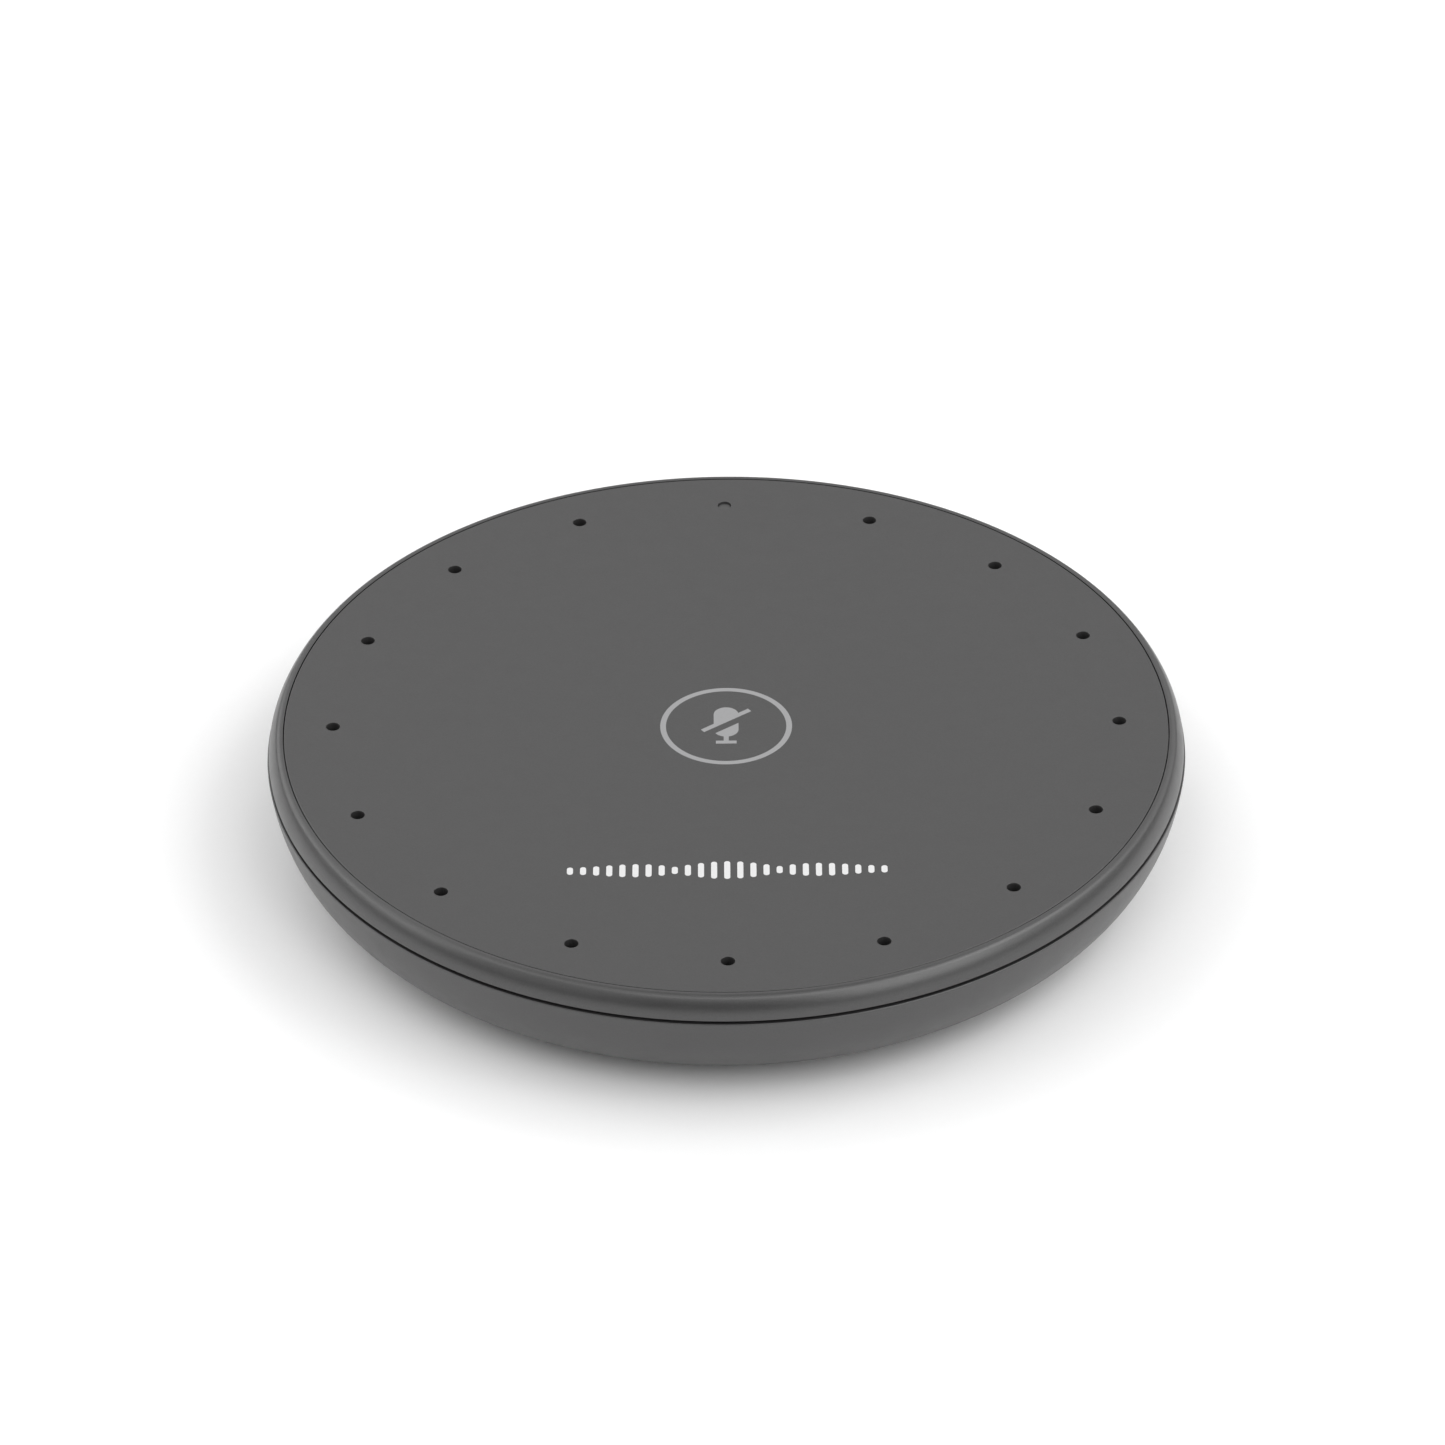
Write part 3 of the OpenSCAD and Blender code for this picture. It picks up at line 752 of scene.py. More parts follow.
class RoundPattern(ShapeTree):
    """Repeats the carried shape round +Z, each copy turned to face outwards."""

    def __init__(self) -> None:
        """Builds the tree."""
        super().__init__("round_pattern")
        places, skip = self.take("Int", "Places", "Left Out")
        radius, first = self.take("Float", "Circle Radius", "First Angle")
        index = self.out("InputIndex")
        step = self.math("DIVIDE", math.tau, places)
        turn = self.math("ADD", self.math("MULTIPLY", index, step), first)
        spot = self.vector(self.math("MULTIPLY", radius, self.math("COSINE", turn)),
                           self.math("MULTIPLY", radius, self.math("SINE", turn)))
        kept = self.out("FunctionNodeCompare", {2: index, 3: skip}, data_type="INT", operation="NOT_EQUAL")
        spots = self.out("Points", {"Count": places, "Position": spot})
        rotation = self.out("FunctionNodeEulerToRotation", {0: self.vector(z=turn)})
        self.close(self.out("InstanceOnPoints", {
            "Points": spots, "Selection": kept, "Instance": self.base, "Rotation": rotation}))


class RowPattern(ShapeTree):
    """Repeats the carried shape in a straight row."""

    def __init__(self) -> None:
        """Builds the tree."""
        super().__init__("row_pattern")
        (count,), (step,) = self.take("Int", "Count"), self.take("Vector", "Step")
        self.close(self.copies(self.out("MeshLine", {"Count": count, "Offset": step}), self.base))


class BentWires(ShapeTree):
    """A row of square wires that follow the carried line, with rounded bends."""

    def __init__(self) -> None:
        """Builds the tree."""
        super().__init__("bent_wires")
        (count,), (step,) = self.take("Int", "Count"), self.take("Vector", "Step")
        width, bend = self.take("Float", "Wire Width", "Bend Radius")
        path = self.out("MeshToCurve", {"Mesh": self.base})
        bent = self.out("FilletCurve", {"Curve": path, "Radius": bend, "Count": 5, "Limit Radius": True},
                        mode="POLY")
        section = self.out("CurvePrimitiveQuadrilateral", {"Width": width, "Height": width})
        wire = self.out("CurveToMesh", {"Curve": bent, "Profile Curve": section, "Fill Caps": True})
        self.close(self.copies(self.out("MeshLine", {"Count": count, "Offset": step}), wire))


class PerforatedPanel(ShapeTree):
    """A round plate with a ring of sound ports and shallow pockets for the light windows.

    The carried shape is the outline of the symbol, as loops of edges on z = 0.
    """

    def __init__(self, lip_steps: int) -> None:
        """Builds the tree.

        Args:
            lip_steps: chords in each rounded lip.
        """
        super().__init__("perforated_panel")
        radius, thickness, edge, top, circle, port, lip = self.take(
            "Float", "Radius", "Thickness", "Edge Radius", "Top Height", "Circle Radius", "Port Radius",
            "Lip Radius")
        ring_out, ring_in, ring_y, pocket = self.take(
            "Float", "Ring Outer Radius", "Ring Inner Radius", "Ring Middle", "Pocket Depth")
        places, facets, port_facets, ring_facets = self.take(
            "Int", "Places", "Facets", "Port Facets", "Ring Facets")
        below, floor = (self.math("MULTIPLY", depth, -1.0) for depth in (thickness, pocket))
        centres = self.loop(circle, places)

        def at_ports(shape: Socket) -> Socket:
            """Repeats a shape at every port."""
            return self.realized(self.copies(centres, shape))

        rings = [self.moved(self.loop(r, ring_facets), y=ring_y) for r in (ring_out, ring_in)]
        cap = self.sheet(self.loop(self.math("SUBTRACT", radius, edge), facets),
                         at_ports(self.loop(self.math("ADD", port, lip), port_facets)), *rings, self.base)
        base = self.sheet(self.loop(radius, facets), at_ports(self.loop(port, port_facets)))
        pocket_floors = self.moved(self.joined(self.sheet(*rings), self.sheet(self.base)), z=floor)
        symbol_wall = self.out("ExtrudeMesh", {"Mesh": self.base, "Offset": self.vector(z=floor),
                                               "Offset Scale": 1.0}, mode="EDGES")
        shapes = [cap, self.moved(base, z=below), pocket_floors, symbol_wall]
        shapes += [self.moved(self.band(ring_facets, (r, floor), (r, 0.0)), y=ring_y)
                   for r in (ring_out, ring_in)]
        shapes += self.lip(radius, edge, below, facets, lip_steps, -1.0)
        shapes += [at_ports(wall) for wall in self.lip(port, lip, below, port_facets, lip_steps, 1.0)]
        self.close(self.moved(self.joined(*shapes), z=top))

    def lip(self, radius: Value, lip: Value, below: Value, facets: Value, steps: int, side: float
            ) -> list[Socket]:
        """Makes the walls of a rounded lip and the straight wall under it.

        Args:
            radius: the straight wall's radius.
            lip: the lip's radius.
            below: the height of the wall's foot.
            facets: steps round the wall.
            steps: chords in the lip.
            side: 1 where the lip opens outwards, as on a hole, and -1 where it closes inwards.

        Returns:
            The walls, from the top down.
        """
        turns = [math.radians(90.0 * i / steps) for i in range(steps + 1)]
        rings = [(self.math("ADD", radius, self.math("MULTIPLY", lip, side * (1 - math.sin(a)))),
                  self.math("MULTIPLY", lip, math.cos(a) - 1)) for a in turns] + [(radius, below)]
        return [self.band(facets, low, high) for high, low in zip(rings, rings[1:])]


class PrintedBars(ShapeTree):
    """A row of round-ended bars whose lengths rise and fall, as a plain sound-level mark."""

    def __init__(self) -> None:
        """Builds the tree."""
        super().__init__("printed_bars")
        count, = self.take("Int", "Count")
        pitch, width, height, waves, film, middle, level = self.take(
            "Float", "Pitch", "Bar Width", "Row Height", "Waves", "Film Thickness", "Row Middle", "Top Height")
        index, last = self.out("InputIndex"), self.math("SUBTRACT", count, 1.0)
        centred = self.math("SUBTRACT", index, self.math("DIVIDE", last, 2.0))
        place = self.vector(self.math("MULTIPLY", centred, pitch))
        spots = self.out("Points", {"Count": count, "Position": place})
        share = self.math("DIVIDE", index, last)
        swing = self.math("ABSOLUTE", self.math("SINE", self.math("MULTIPLY", share, waves)))
        fade = self.math("SINE", self.math("MULTIPLY", share, math.pi))
        rise = self.math("ADD", 0.25, self.math("MULTIPLY", 0.75, self.math("MULTIPLY", swing, fade)))
        reach = self.math("MULTIPLY", self.math("SUBTRACT", height, width), self.math("MULTIPLY", rise, 0.5))
        half = self.math("DIVIDE", width, 2.0)
        dot = self.out("MeshCircle", {"Vertices": 32, "Radius": half}, fill_type="NGON")
        along = self.node("ShaderNodeSeparateXYZ", {0: self.out("InputPosition")}).outputs[1]
        row = self.realized(self.copies(self.stored(spots, "reach", reach),
                                        self.stored(dot, "side", self.math("SIGN", along))))
        pull = self.math("MULTIPLY", *(self.out("InputNamedAttribute", {"Name": label}, data_type="FLOAT")
                                       for label in ("side", "reach")))
        bars = self.out("SetPosition", {"Geometry": row, "Offset": self.vector(y=pull)})
        solid = self.out("ExtrudeMesh", {"Mesh": bars, "Offset Scale": film, "Individual": False})
        self.close(self.moved(self.joined(solid, self.out("FlipFaces", {"Mesh": bars})), y=middle, z=level))

    def stored(self, shape: Socket, label: str, value: Socket) -> Socket:
        """Stores a value on a shape's points."""
        return self.out("StoreNamedAttribute", {"Geometry": shape, "Name": label, "Value": value},
                        domain="POINT", data_type="FLOAT")


ROUND_PATTERN = RoundPattern()
ROW_PATTERN = RowPattern()


@dataclass(frozen=True)
class Circle:
    """Equal places on a circle about +Z, from an angle in degrees, with one left out unless that is -1."""

    places: int
    radius: float
    first: float = 0.0
    left_out: int = -1

    def copies(self, piece: Object, finish: Finish) -> Object:
        """Repeats a piece, drawn at the origin, at every place."""
        return ROUND_PATTERN.apply(piece, finish, {
            "Places": self.places, "Circle Radius": self.radius, "First Angle": math.radians(self.first),
            "Left Out": self.left_out})

    def pegs(self, radius: float, low: float, high: float) -> Object:
        """Makes an upright cylinder at every place, as a tool for cutting or joining."""
        peg = revolve("peg", [(0.0, low), (radius, low), (radius, high), (0.0, high)], 48)
        return self.copies(peg, SHELL_COAT)


PORT_CIRCLE = 85.6 * MM
PORT_PLACES = 16
PORTS = Circle(PORT_PLACES, PORT_CIRCLE, left_out=4)
STATUS_PLACE = Circle(1, PORT_CIRCLE, first=90)
CASE_SCREWS = Circle(6, 72 * MM)
BOARD_SCREWS = Circle(4, 58 * MM, first=45)
TOUCH_SCREWS = Circle(3, 19 * MM)
MIC_SCREWS = Circle(8, PORT_CIRCLE, first=11.25)
BALLAST_SCREWS = Circle(3, 40 * MM, first=30)
FEET = Circle(4, 62 * MM, first=45)
RIBS = Circle(6, 64 * MM, first=30, left_out=1)


# ---------------------------------------------------------------- the object


@dataclass
class SubAssembly:
    """A group of pieces of the object, with the list of what it has made."""

    made: list[Object] = field(default_factory=list, init=False)

    def keep(self, piece: Object, finish: Finish, *stands_for: str, angle: float = 30.0) -> None:
        """Dresses a finished piece and ties it to the frame.

        Args:
            piece: the piece, in place.
            finish: its finish.
            stands_for: the CAD nodes that it replaces.
            angle: the least angle of a sharp edge, in degrees.
        """
        shade(piece, angle)
        paint(piece, finish)
        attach(piece, HOUSING)
        if stands_for:
            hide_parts(*stands_for)
        self.made.append(piece)

    def report(self) -> None:
        """Logs each piece with its size in millimetres."""
        for piece in self.made:
            size = ", ".join(f"{d / MM:.1f}" for d in piece.dimensions)
            LOG.info("%s: %s: %d faces, %s mm", type(self).__name__, piece.name, len(piece.data.polygons), size)


@dataclass
class Panel(SubAssembly):
    """The flat panel with its ports, the mute pad's light windows, the status lens and the front print."""

    port_radius: float = 1.5 * MM
    lip: float = 0.12 * MM
    edge: float = 0.2 * MM
    facets: int = 360
    port_facets: int = 48
    ring_facets: int = 160
    ring_width: float = 1.25 * MM
    capsule_radius: float = 2.7 * MM
    capsule_ends: Point = (-1.3 * MM, 4.3 * MM)
    stem: float = 0.55 * MM
    foot: float = 2.25 * MM
    foot_heights: Point = (-6.6 * MM, -5.5 * MM)
    stroke_angle: float = 37.0
    stroke_middle: float = 2.1 * MM
    stroke_half: float = 0.6 * MM
    stroke_reach: float = 6.45 * MM
    stroke_gap: float = 1.8 * MM
    print_y: float = -53.7 * MM
    print_length: float = 68 * MM
    print_height: float = 6.3 * MM
    print_film: float = 0.015 * MM
    bar_width: float = 1.3 * MM
    bar_count: int = 25
    bar_waves: int = 3
    lens_flange: float = 0.7 * MM
    lens_gap: float = 0.05 * MM
    lens_round: float = 0.15 * MM

    def build(self) -> None:
        """Builds every piece of the panel."""
        low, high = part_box("top_panel")
        ring_low, ring_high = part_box("mute_ring_window")
        self.top, self.thickness, self.radius = high.z, high.z - low.z, high.x
        self.ring_radius, self.ring_y = ring_high.x, (ring_low.y + ring_high.y) / 2
        self.pocket = ring_high.z - ring_low.z
        self.plate()
        self.windows()
        self.front_print()
        self.status_lens()

    def symbol(self) -> list[list[Point]]:
        """Draws the crossed-out microphone.

        Returns:
            The outlines of its upper and lower parts.
        """
        half, stem, foot = self.capsule_radius, self.stem, self.foot
        bowl_y, dome_y = self.capsule_ends
        foot_low, foot_top = self.foot_heights
        turn = math.radians(self.stroke_angle)
        along, across = Vector((math.cos(turn), math.sin(turn))), Vector((-math.sin(turn), math.cos(turn)))
        middle = Vector((0.0, self.stroke_middle))
        dome, bowl = arc((0.0, dome_y), half, 0, 180, 40), arc((0.0, bowl_y), half, 180, 360, 40)
        capsule = [Vector(p) for p in dome + bowl]

        def height(point: Vector) -> float:
            """Returns the distance of a point above the stroke's centre line."""
            return (point - middle).dot(across)

        def kept(limit: float, above: bool) -> list[Vector]:
            """Keeps one side of the capsule's outline.

            Args:
                limit: the height over the stroke's centre line of the line that cuts it.
                above: whether to keep what is above that line.

            Returns:
                The points, starting where the outline crosses the line.
            """
            found: list[Vector] = []
            count = len(capsule)
            inside = [(height(p) > limit) == above for p in capsule]
            start = next(i for i in range(count) if inside[i] and not inside[i - 1])
            for i in range(start, start + count):
                here, before = capsule[i % count], capsule[i % count - 1]
                if inside[i % count] != inside[i % count - 1]:
                    found.append(before.lerp(here, (limit - height(before)) / (height(here) - height(before))))
                if inside[i % count]:
                    found.append(here)
            return found

        reach, edge = self.stroke_reach, self.stroke_half
        ends = [middle + along * a + across * b for a, b in (
            (-reach, edge), (-reach, -edge), (reach, -edge), (reach, edge))]
        lower = kept(-edge - self.stroke_gap, False)
        bottom = bowl_y - math.sqrt(half ** 2 - stem ** 2)
        left, right = [p for p in lower if p.x < -stem], [p for p in lower if p.x > stem]
        stand = [Vector(p) for p in ((-stem, bottom), (-stem, foot_top), (-foot, foot_top), (-foot, foot_low),
                                     (foot, foot_low), (foot, foot_top), (stem, foot_top), (stem, bottom))]
        shift = Vector((0.0, self.ring_y))
        return [[tuple(p + shift) for p in part] for part in (kept(edge, True) + ends, left + stand + right)]

    def plate(self) -> None:
        """Builds the perforated plate."""
        points, edges = [], []
        for loop in self.symbol():
            first, count = len(points), len(loop)
            points += [(x, y, 0.0) for x, y in loop]
            edges += [(first + i, first + (i + 1) % count) for i in range(count)]
        plate = mesh_object("panel_plate", points, [], edges)
        PerforatedPanel(lip_steps=4).apply(plate, PANEL_COAT, {
            "Radius": self.radius, "Thickness": self.thickness, "Edge Radius": self.edge,
            "Top Height": self.top, "Places": PORT_PLACES, "Circle Radius": PORT_CIRCLE,
            "Port Radius": self.port_radius, "Lip Radius": self.lip, "Ring Outer Radius": self.ring_radius,
            "Ring Inner Radius": self.ring_radius - self.ring_width, "Ring Middle": self.ring_y,
            "Pocket Depth": self.pocket, "Facets": self.facets, "Port Facets": self.port_facets,
            "Ring Facets": self.ring_facets})
        self.keep(plate, PANEL_COAT, "top_panel")

    def windows(self) -> None:
        """Builds the grey ring and symbol that fill the panel's pockets."""
        low, high = self.top - self.pocket, self.top
        inner, outer = self.ring_radius - self.ring_width, self.ring_radius
        self.keep(prism("mute_symbol", *self.symbol(), low=low, high=high), INK_GREY, "mute_icon_window")
        section = [(inner, low), (outer, low), (outer, high), (inner, high)]
        ring = moved(revolve("mute_ring", section, self.ring_facets), y=self.ring_y)
        self.keep(ring, INK_GREY, "mute_ring_window")

    def front_print(self) -> None:
        """Builds the white sound-level mark near the front edge."""
        pitch = (self.print_length - self.bar_width) / (self.bar_count - 1)
        bars = PrintedBars().apply(mesh_object("front_print", [], []), INK_WHITE, {
            "Count": self.bar_count, "Pitch": pitch, "Bar Width": self.bar_width,
            "Row Height": self.print_height, "Waves": self.bar_waves * math.pi,
            "Film Thickness": self.print_film, "Row Middle": self.print_y, "Top Height": self.top})
        self.keep(bars, INK_WHITE)

    def status_lens(self) -> None:
        """Builds the recessed light pipe in the port circle's rear place."""
        low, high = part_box("status_light_pipe")
        flange, step = (high.x - low.x) / 2, low.z + self.lens_flange
        stem, rounded = self.port_radius - self.lens_gap, self.lens_round
        outline = [(0.0, low.z), (flange, low.z), (flange, step), (stem, step)]
        outline += arc((stem - rounded, high.z - rounded), rounded, 0, 90, 4) + [(0.0, high.z)]
        place = middle_of("status_light_pipe")
        lens = moved(revolve("status_lens", outline, self.port_facets), place.x, place.y)
        self.keep(lens, STATUS_LENS, "status_light_pipe")


@dataclass(frozen=True)
class Boss:
    """Equal screw bosses: their places, their radius, their pilot hole's radius and its depth."""

    places: Circle
    radius: float
    pilot: float
    depth: float


@dataclass
class RimHousing(SubAssembly):
    """The upper housing: the rounded rim, the deck under the panel, the tongue and the bosses."""

    top_radius: float = 1.7 * MM
    side_radius: float = 7.25 * MM
    blend_angle: float = 38.0
    deck_hole: float = 17.4 * MM
    deck: float = 2.0 * MM
    tape: float = 0.15 * MM
    rim_height: float = 5.1 * MM
    panel_gap: float = 0.2 * MM
    tongue_width: float = 1.6 * MM
    tongue_depth: float = 2.9 * MM
    tongue_inset: float = 2.4 * MM
    port_hole: float = 2.6 * MM
    status_hole: float = 1.6 * MM
    facets: int = 360
    case_boss: Boss = Boss(CASE_SCREWS, 3.2 * MM, 1.25 * MM, 9 * MM)
    board_boss: Boss = Boss(BOARD_SCREWS, 2.6 * MM, 1.0 * MM, 4 * MM)
    touch_boss: Boss = Boss(TOUCH_SCREWS, 1.5 * MM, 0.7 * MM, 3 * MM)
    mic_boss: Boss = Boss(MIC_SCREWS, 2.2 * MM, 0.8 * MM, 2.6 * MM)

    def build(self) -> None:
        """Builds the housing."""
        low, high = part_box("upper_housing")
        panel_low, panel_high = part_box("top_panel")
        top, edge = high.z, high.x
        inner = panel_high.x + self.panel_gap
        deck_top = panel_low.z - self.tape
        deck_low = deck_top - self.deck
        bottom = top - self.rim_height
        tongue = edge - self.tongue_inset
        fall = self.side_radius - self.top_radius
        turn = math.radians(self.blend_angle)
        side = (edge - self.side_radius, top - self.top_radius - fall * math.sin(turn))
        cap = (side[0] + fall * math.cos(turn), top - self.top_radius)
        start = math.degrees(math.asin((bottom - side[1]) / self.side_radius))
        end = math.degrees(math.acos((inner - cap[0]) / self.top_radius))
        inside, foot = tongue - self.tongue_width, bottom - self.tongue_depth
        outline = [(self.deck_hole, deck_low), (inside, deck_low), (inside, foot), (tongue, foot),
                   (tongue, bottom)]
        outline += arc(side, self.side_radius, start, self.blend_angle, 14)
        outline += arc(cap, self.top_radius, self.blend_angle, end, 12)[1:]
        outline += [(inner, deck_top), (self.deck_hole, deck_top)]
        housing = revolve("rim_housing", outline, self.facets)
        bosses = [(self.case_boss, low.z)]
        bosses += [(boss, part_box(board)[1].z) for boss, board in (
            (self.board_boss, "main_board"), (self.touch_boss, "touch_board"),
            (self.mic_boss, "microphone_board"))]
        combine(housing, Combine.JOIN, *(boss.places.pegs(boss.radius, foot, deck_low + self.deck / 2)
                                         for boss, foot in bosses))
        combine(housing, Combine.CUT, PORTS.pegs(self.port_hole, deck_low - MM, deck_top + MM),
                STATUS_PLACE.pegs(self.status_hole, deck_low - MM, deck_top + MM),
                *(boss.places.pegs(boss.pilot, foot - MM, foot + boss.depth) for boss, foot in bosses))
        self.keep(housing, SHELL_COAT, "upper_housing")


def usb_bar(name: str, inset: float, front: float, back: float, steps: int = 16) -> Object:
    """Makes a bar along Y with the USB socket's round-ended section.

    Args:
        name: the piece's name.
        inset: how far inside the socket's outer face.
        front: its lower Y.
        back: its higher Y.
        steps: chords in each round end.

    Returns:
        The bar.
    """
    low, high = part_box("usb_socket_shell")
    radius = (high.z - low.z) / 2 - inset
    reach = (high.x - low.x) / 2 - inset - radius
    loop = arc((reach, 0.0), radius, -90, 90, steps) + arc((-reach, 0.0), radius, 90, 270, steps)
    middle = (low + high) / 2
    return moved(prism(name, loop, low=front, high=back), middle.x, 0.0, middle.z, lay=True)


@dataclass
class Bowl(SubAssembly):
    """The lower shell with its socket bay, and what is fixed to its underside."""

    upper_radius: float = 31.7 * MM
    lower_radius: float = 22.7 * MM
    edge_angle: float = 5.5
    blend_angle: float = 18.5
    wall: float = 2.2 * MM
    lip: float = 0.6 * MM
    edge_round: float = 0.2 * MM
    bay_x: float = 2.0 * MM
    bay_width: float = 52.0 * MM
    bay_height: float = 19.6 * MM
    bay_ceiling: float = 1.5 * MM
    bay_wall: float = 2.0 * MM
    bay_face: float = 62.5 * MM
    jack_gap: float = 0.2 * MM
    usb_gap: float = 0.5 * MM
    pinhole: float = 1.15 * MM
    screw_tube: Point = (4.2 * MM, 14 * MM)
    screw_recess: Point = (3.0 * MM, 9 * MM)
    screw_hole: Point = (1.7 * MM, 15 * MM)
    ballast_boss: Point = (2.5 * MM, 2 * MM)
    ballast_hole: float = 1.0 * MM
    rib: Point3 = (20 * MM, 0.6 * MM, 8 * MM)
    label_pocket: tuple[float, ...] = (52 * MM, 26 * MM, 1.5 * MM, 0.3 * MM)
    label_corner: float = 1.2 * MM
    foot_radius: float = 7 * MM
    foot_gap: float = 0.1 * MM
    foot_recess: float = 0.5 * MM
    foot_edge: float = 0.4 * MM
    foot_groove: float = 0.25 * MM
    head_radius: float = 2.7 * MM
    head_dome: float = 0.7 * MM
    head_rim: float = 0.5 * MM
    shank: float = 1.23 * MM
    tip: Point = (0.4 * MM, 1.2 * MM)
    cross: Point3 = (1.5 * MM, 0.36 * MM, 1.4 * MM)
    facets: int = 360

    def build(self) -> None:
        """Builds the shell and its fittings."""
        low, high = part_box("lower_shell")
        self.bottom, self.top, self.radius = low.z, high.z, high.x
        self.shell()
        self.feet()
        self.screws()
        low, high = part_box("rating_label")
        width, depth = high.x - low.x, high.y - low.y
        label = self.rounded_plate("blank_label", width, depth, self.label_corner, low.z, high.z)
        self.keep(label, LABEL_FILM, "rating_label")

    def outline(self, inset: float, top: float, lip_radius: float) -> list[Point]:
        """Draws the bowl's outline, closed along the axis.

        Args:
            inset: how far inside the outer face.
            top: the height that it is run up to.
            lip_radius: the radius of the lip on the outer outline.

        Returns:
            The points, from the bottom up.
        """
        fall = self.upper_radius - self.lower_radius
        blend, edge = math.radians(self.blend_angle), math.radians(self.edge_angle)
        lower_z = self.bottom + self.lower_radius
        upper = (self.radius - self.upper_radius * math.cos(edge), lower_z + fall * math.sin(blend))
        lower = (upper[0] + fall * math.cos(blend), lower_z)
        points = [(0.0, self.bottom + inset)]
        points += arc(lower, self.lower_radius - inset, -90, -self.blend_angle, 24)
        points += arc(upper, self.upper_radius - inset, -self.blend_angle, -self.edge_angle, 10)[1:]
        if inset == 0:
            last = points.pop()
            corner = (last[0] - self.edge_round, last[1] - self.edge_round)
            points += arc(corner, self.edge_round, -self.edge_angle, 90, 4) + [(lip_radius, last[1])]
        return points + [(lip_radius or points[-1][0], top), (0.0, top)]

    def shell(self) -> None:
        """Builds the shell: the outer form, less the hollow, the bay, the holes and the recesses."""
        beyond, below, floor = self.radius + 10 * MM, -MM, self.bottom + self.wall
        left, right = self.bay_x - self.bay_width / 2, self.bay_x + self.bay_width / 2
        inside = self.bay_face - self.bay_wall
        outer = self.outline(0.0, self.top, self.radius - self.wall + self.lip)
        shell = revolve("base_shell", outer, self.facets)
        hollow = revolve("hollow", self.outline(self.wall, self.top + MM, 0.0), self.facets)
        tube, boss = self.screw_tube, self.ballast_boss
        length, half, height = self.rib
        rib = block("rib", (0.0, -half, below), (length, half, height))
        combine(hollow, Combine.CUT,
                block("bay", (left - self.bay_wall, inside, below),
                      (right + self.bay_wall, beyond, self.bay_height + self.bay_ceiling)),
                CASE_SCREWS.pegs(tube[0], below, tube[1]), BALLAST_SCREWS.pegs(boss[0], below, floor + boss[1]),
                RIBS.copies(rib, SHELL_COAT))
        combine(shell, Combine.CUT, hollow)
        front, back = inside - MM, self.bay_face + MM
        jack_low, jack_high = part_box("ethernet_jack_shield")
        plunger, gap = middle_of("reset_plunger"), self.jack_gap
        width, depth, corner, recess = self.label_pocket
        hole = revolve("hole", [(0.0, front), (self.pinhole, front), (self.pinhole, back), (0.0, back)], 32)
        combine(shell, Combine.CUT,
                block("bay", (left, self.bay_face, below), (right, beyond, self.bay_height)),
                block("jack", (jack_low.x - gap, front, jack_low.z - gap),
                      (jack_high.x + gap, back, jack_high.z + gap)),
                usb_bar("usb", -self.usb_gap, front, back, 12),
                moved(hole, plunger.x, 0.0, plunger.z, lay=True),
                *(CASE_SCREWS.pegs(radius, below, top) for radius, top in (self.screw_recess, self.screw_hole)),
                BALLAST_SCREWS.pegs(self.ballast_hole, self.bottom + MM, floor + 9 * MM),
                FEET.pegs(self.foot_radius + self.foot_gap, below, self.bottom + self.foot_recess),
                self.rounded_plate("pocket", width, depth, corner, below, self.bottom + recess))
        self.keep(shell, SHELL_COAT, "lower_shell")

    def rounded_plate(self, name: str, width: float, depth: float, corner: float, low: float, high: float
                      ) -> Object:
        """Makes a level plate with round corners at the label's place.

        Args:
            name: the piece's name.
            width: its size along X.
            depth: its size along Y.
            corner: the radius of its corners.
            low: its lower height.
            high: its higher height.

        Returns:
            The plate.
        """
        x, y = width / 2 - corner, depth / 2 - corner
        loop: list[Point] = []
        for i, (sx, sy) in enumerate(((1, 1), (-1, 1), (-1, -1), (1, -1))):
            loop += arc((sx * x, sy * y), corner, 90 * i, 90 * i + 90, 6)
        middle = middle_of("rating_label")
        return moved(prism(name, loop, low=low, high=high), middle.x, middle.y)

    def feet(self) -> None:
        """Builds the four rubber feet, each with a rounded edge and a ring groove."""
        low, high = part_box("rubber_feet")
        radius, edge, groove = self.foot_radius, self.foot_edge, low.z + self.foot_groove
        outline = [(0.0, low.z), (4.0 * MM, low.z), (4.2 * MM, groove), (4.8 * MM, groove), (5.0 * MM, low.z)]
        outline += arc((radius - edge, low.z + edge), edge, -90, 0, 5) + [(radius, high.z), (0.0, high.z)]
        self.keep(FEET.copies(revolve("feet", outline, 64), FOOT_RUBBER), FOOT_RUBBER, "rubber_feet")

    def screws(self) -> None:
        """Builds the six case screws, with domed heads and cross recesses."""
        low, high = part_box("case_screws")
        head, shank, seat = self.head_radius, self.shank, self.screw_recess[1]
        outline = [(head * math.sin(a), low.z + self.head_dome * (1 - math.cos(a)))
                   for a in (math.radians(90 * i / 8) for i in range(9))]
        outline += [(head, seat - self.head_rim), (head, seat), (shank, seat), (shank, high.z - self.tip[1]),
                    (self.tip[0], high.z), (0.0, high.z)]
        arm, blade, depth = self.cross
        slots = [block("slot", (-x, -y, low.z - MM), (x, y, low.z + depth))
                 for x, y in ((arm, blade), (blade, arm))]
        screw = combine(revolve("case_screws_detail", outline, 40), Combine.CUT, *slots)
        self.keep(CASE_SCREWS.copies(screw, BLACK_STEEL), BLACK_STEEL, "case_screws", angle=40)


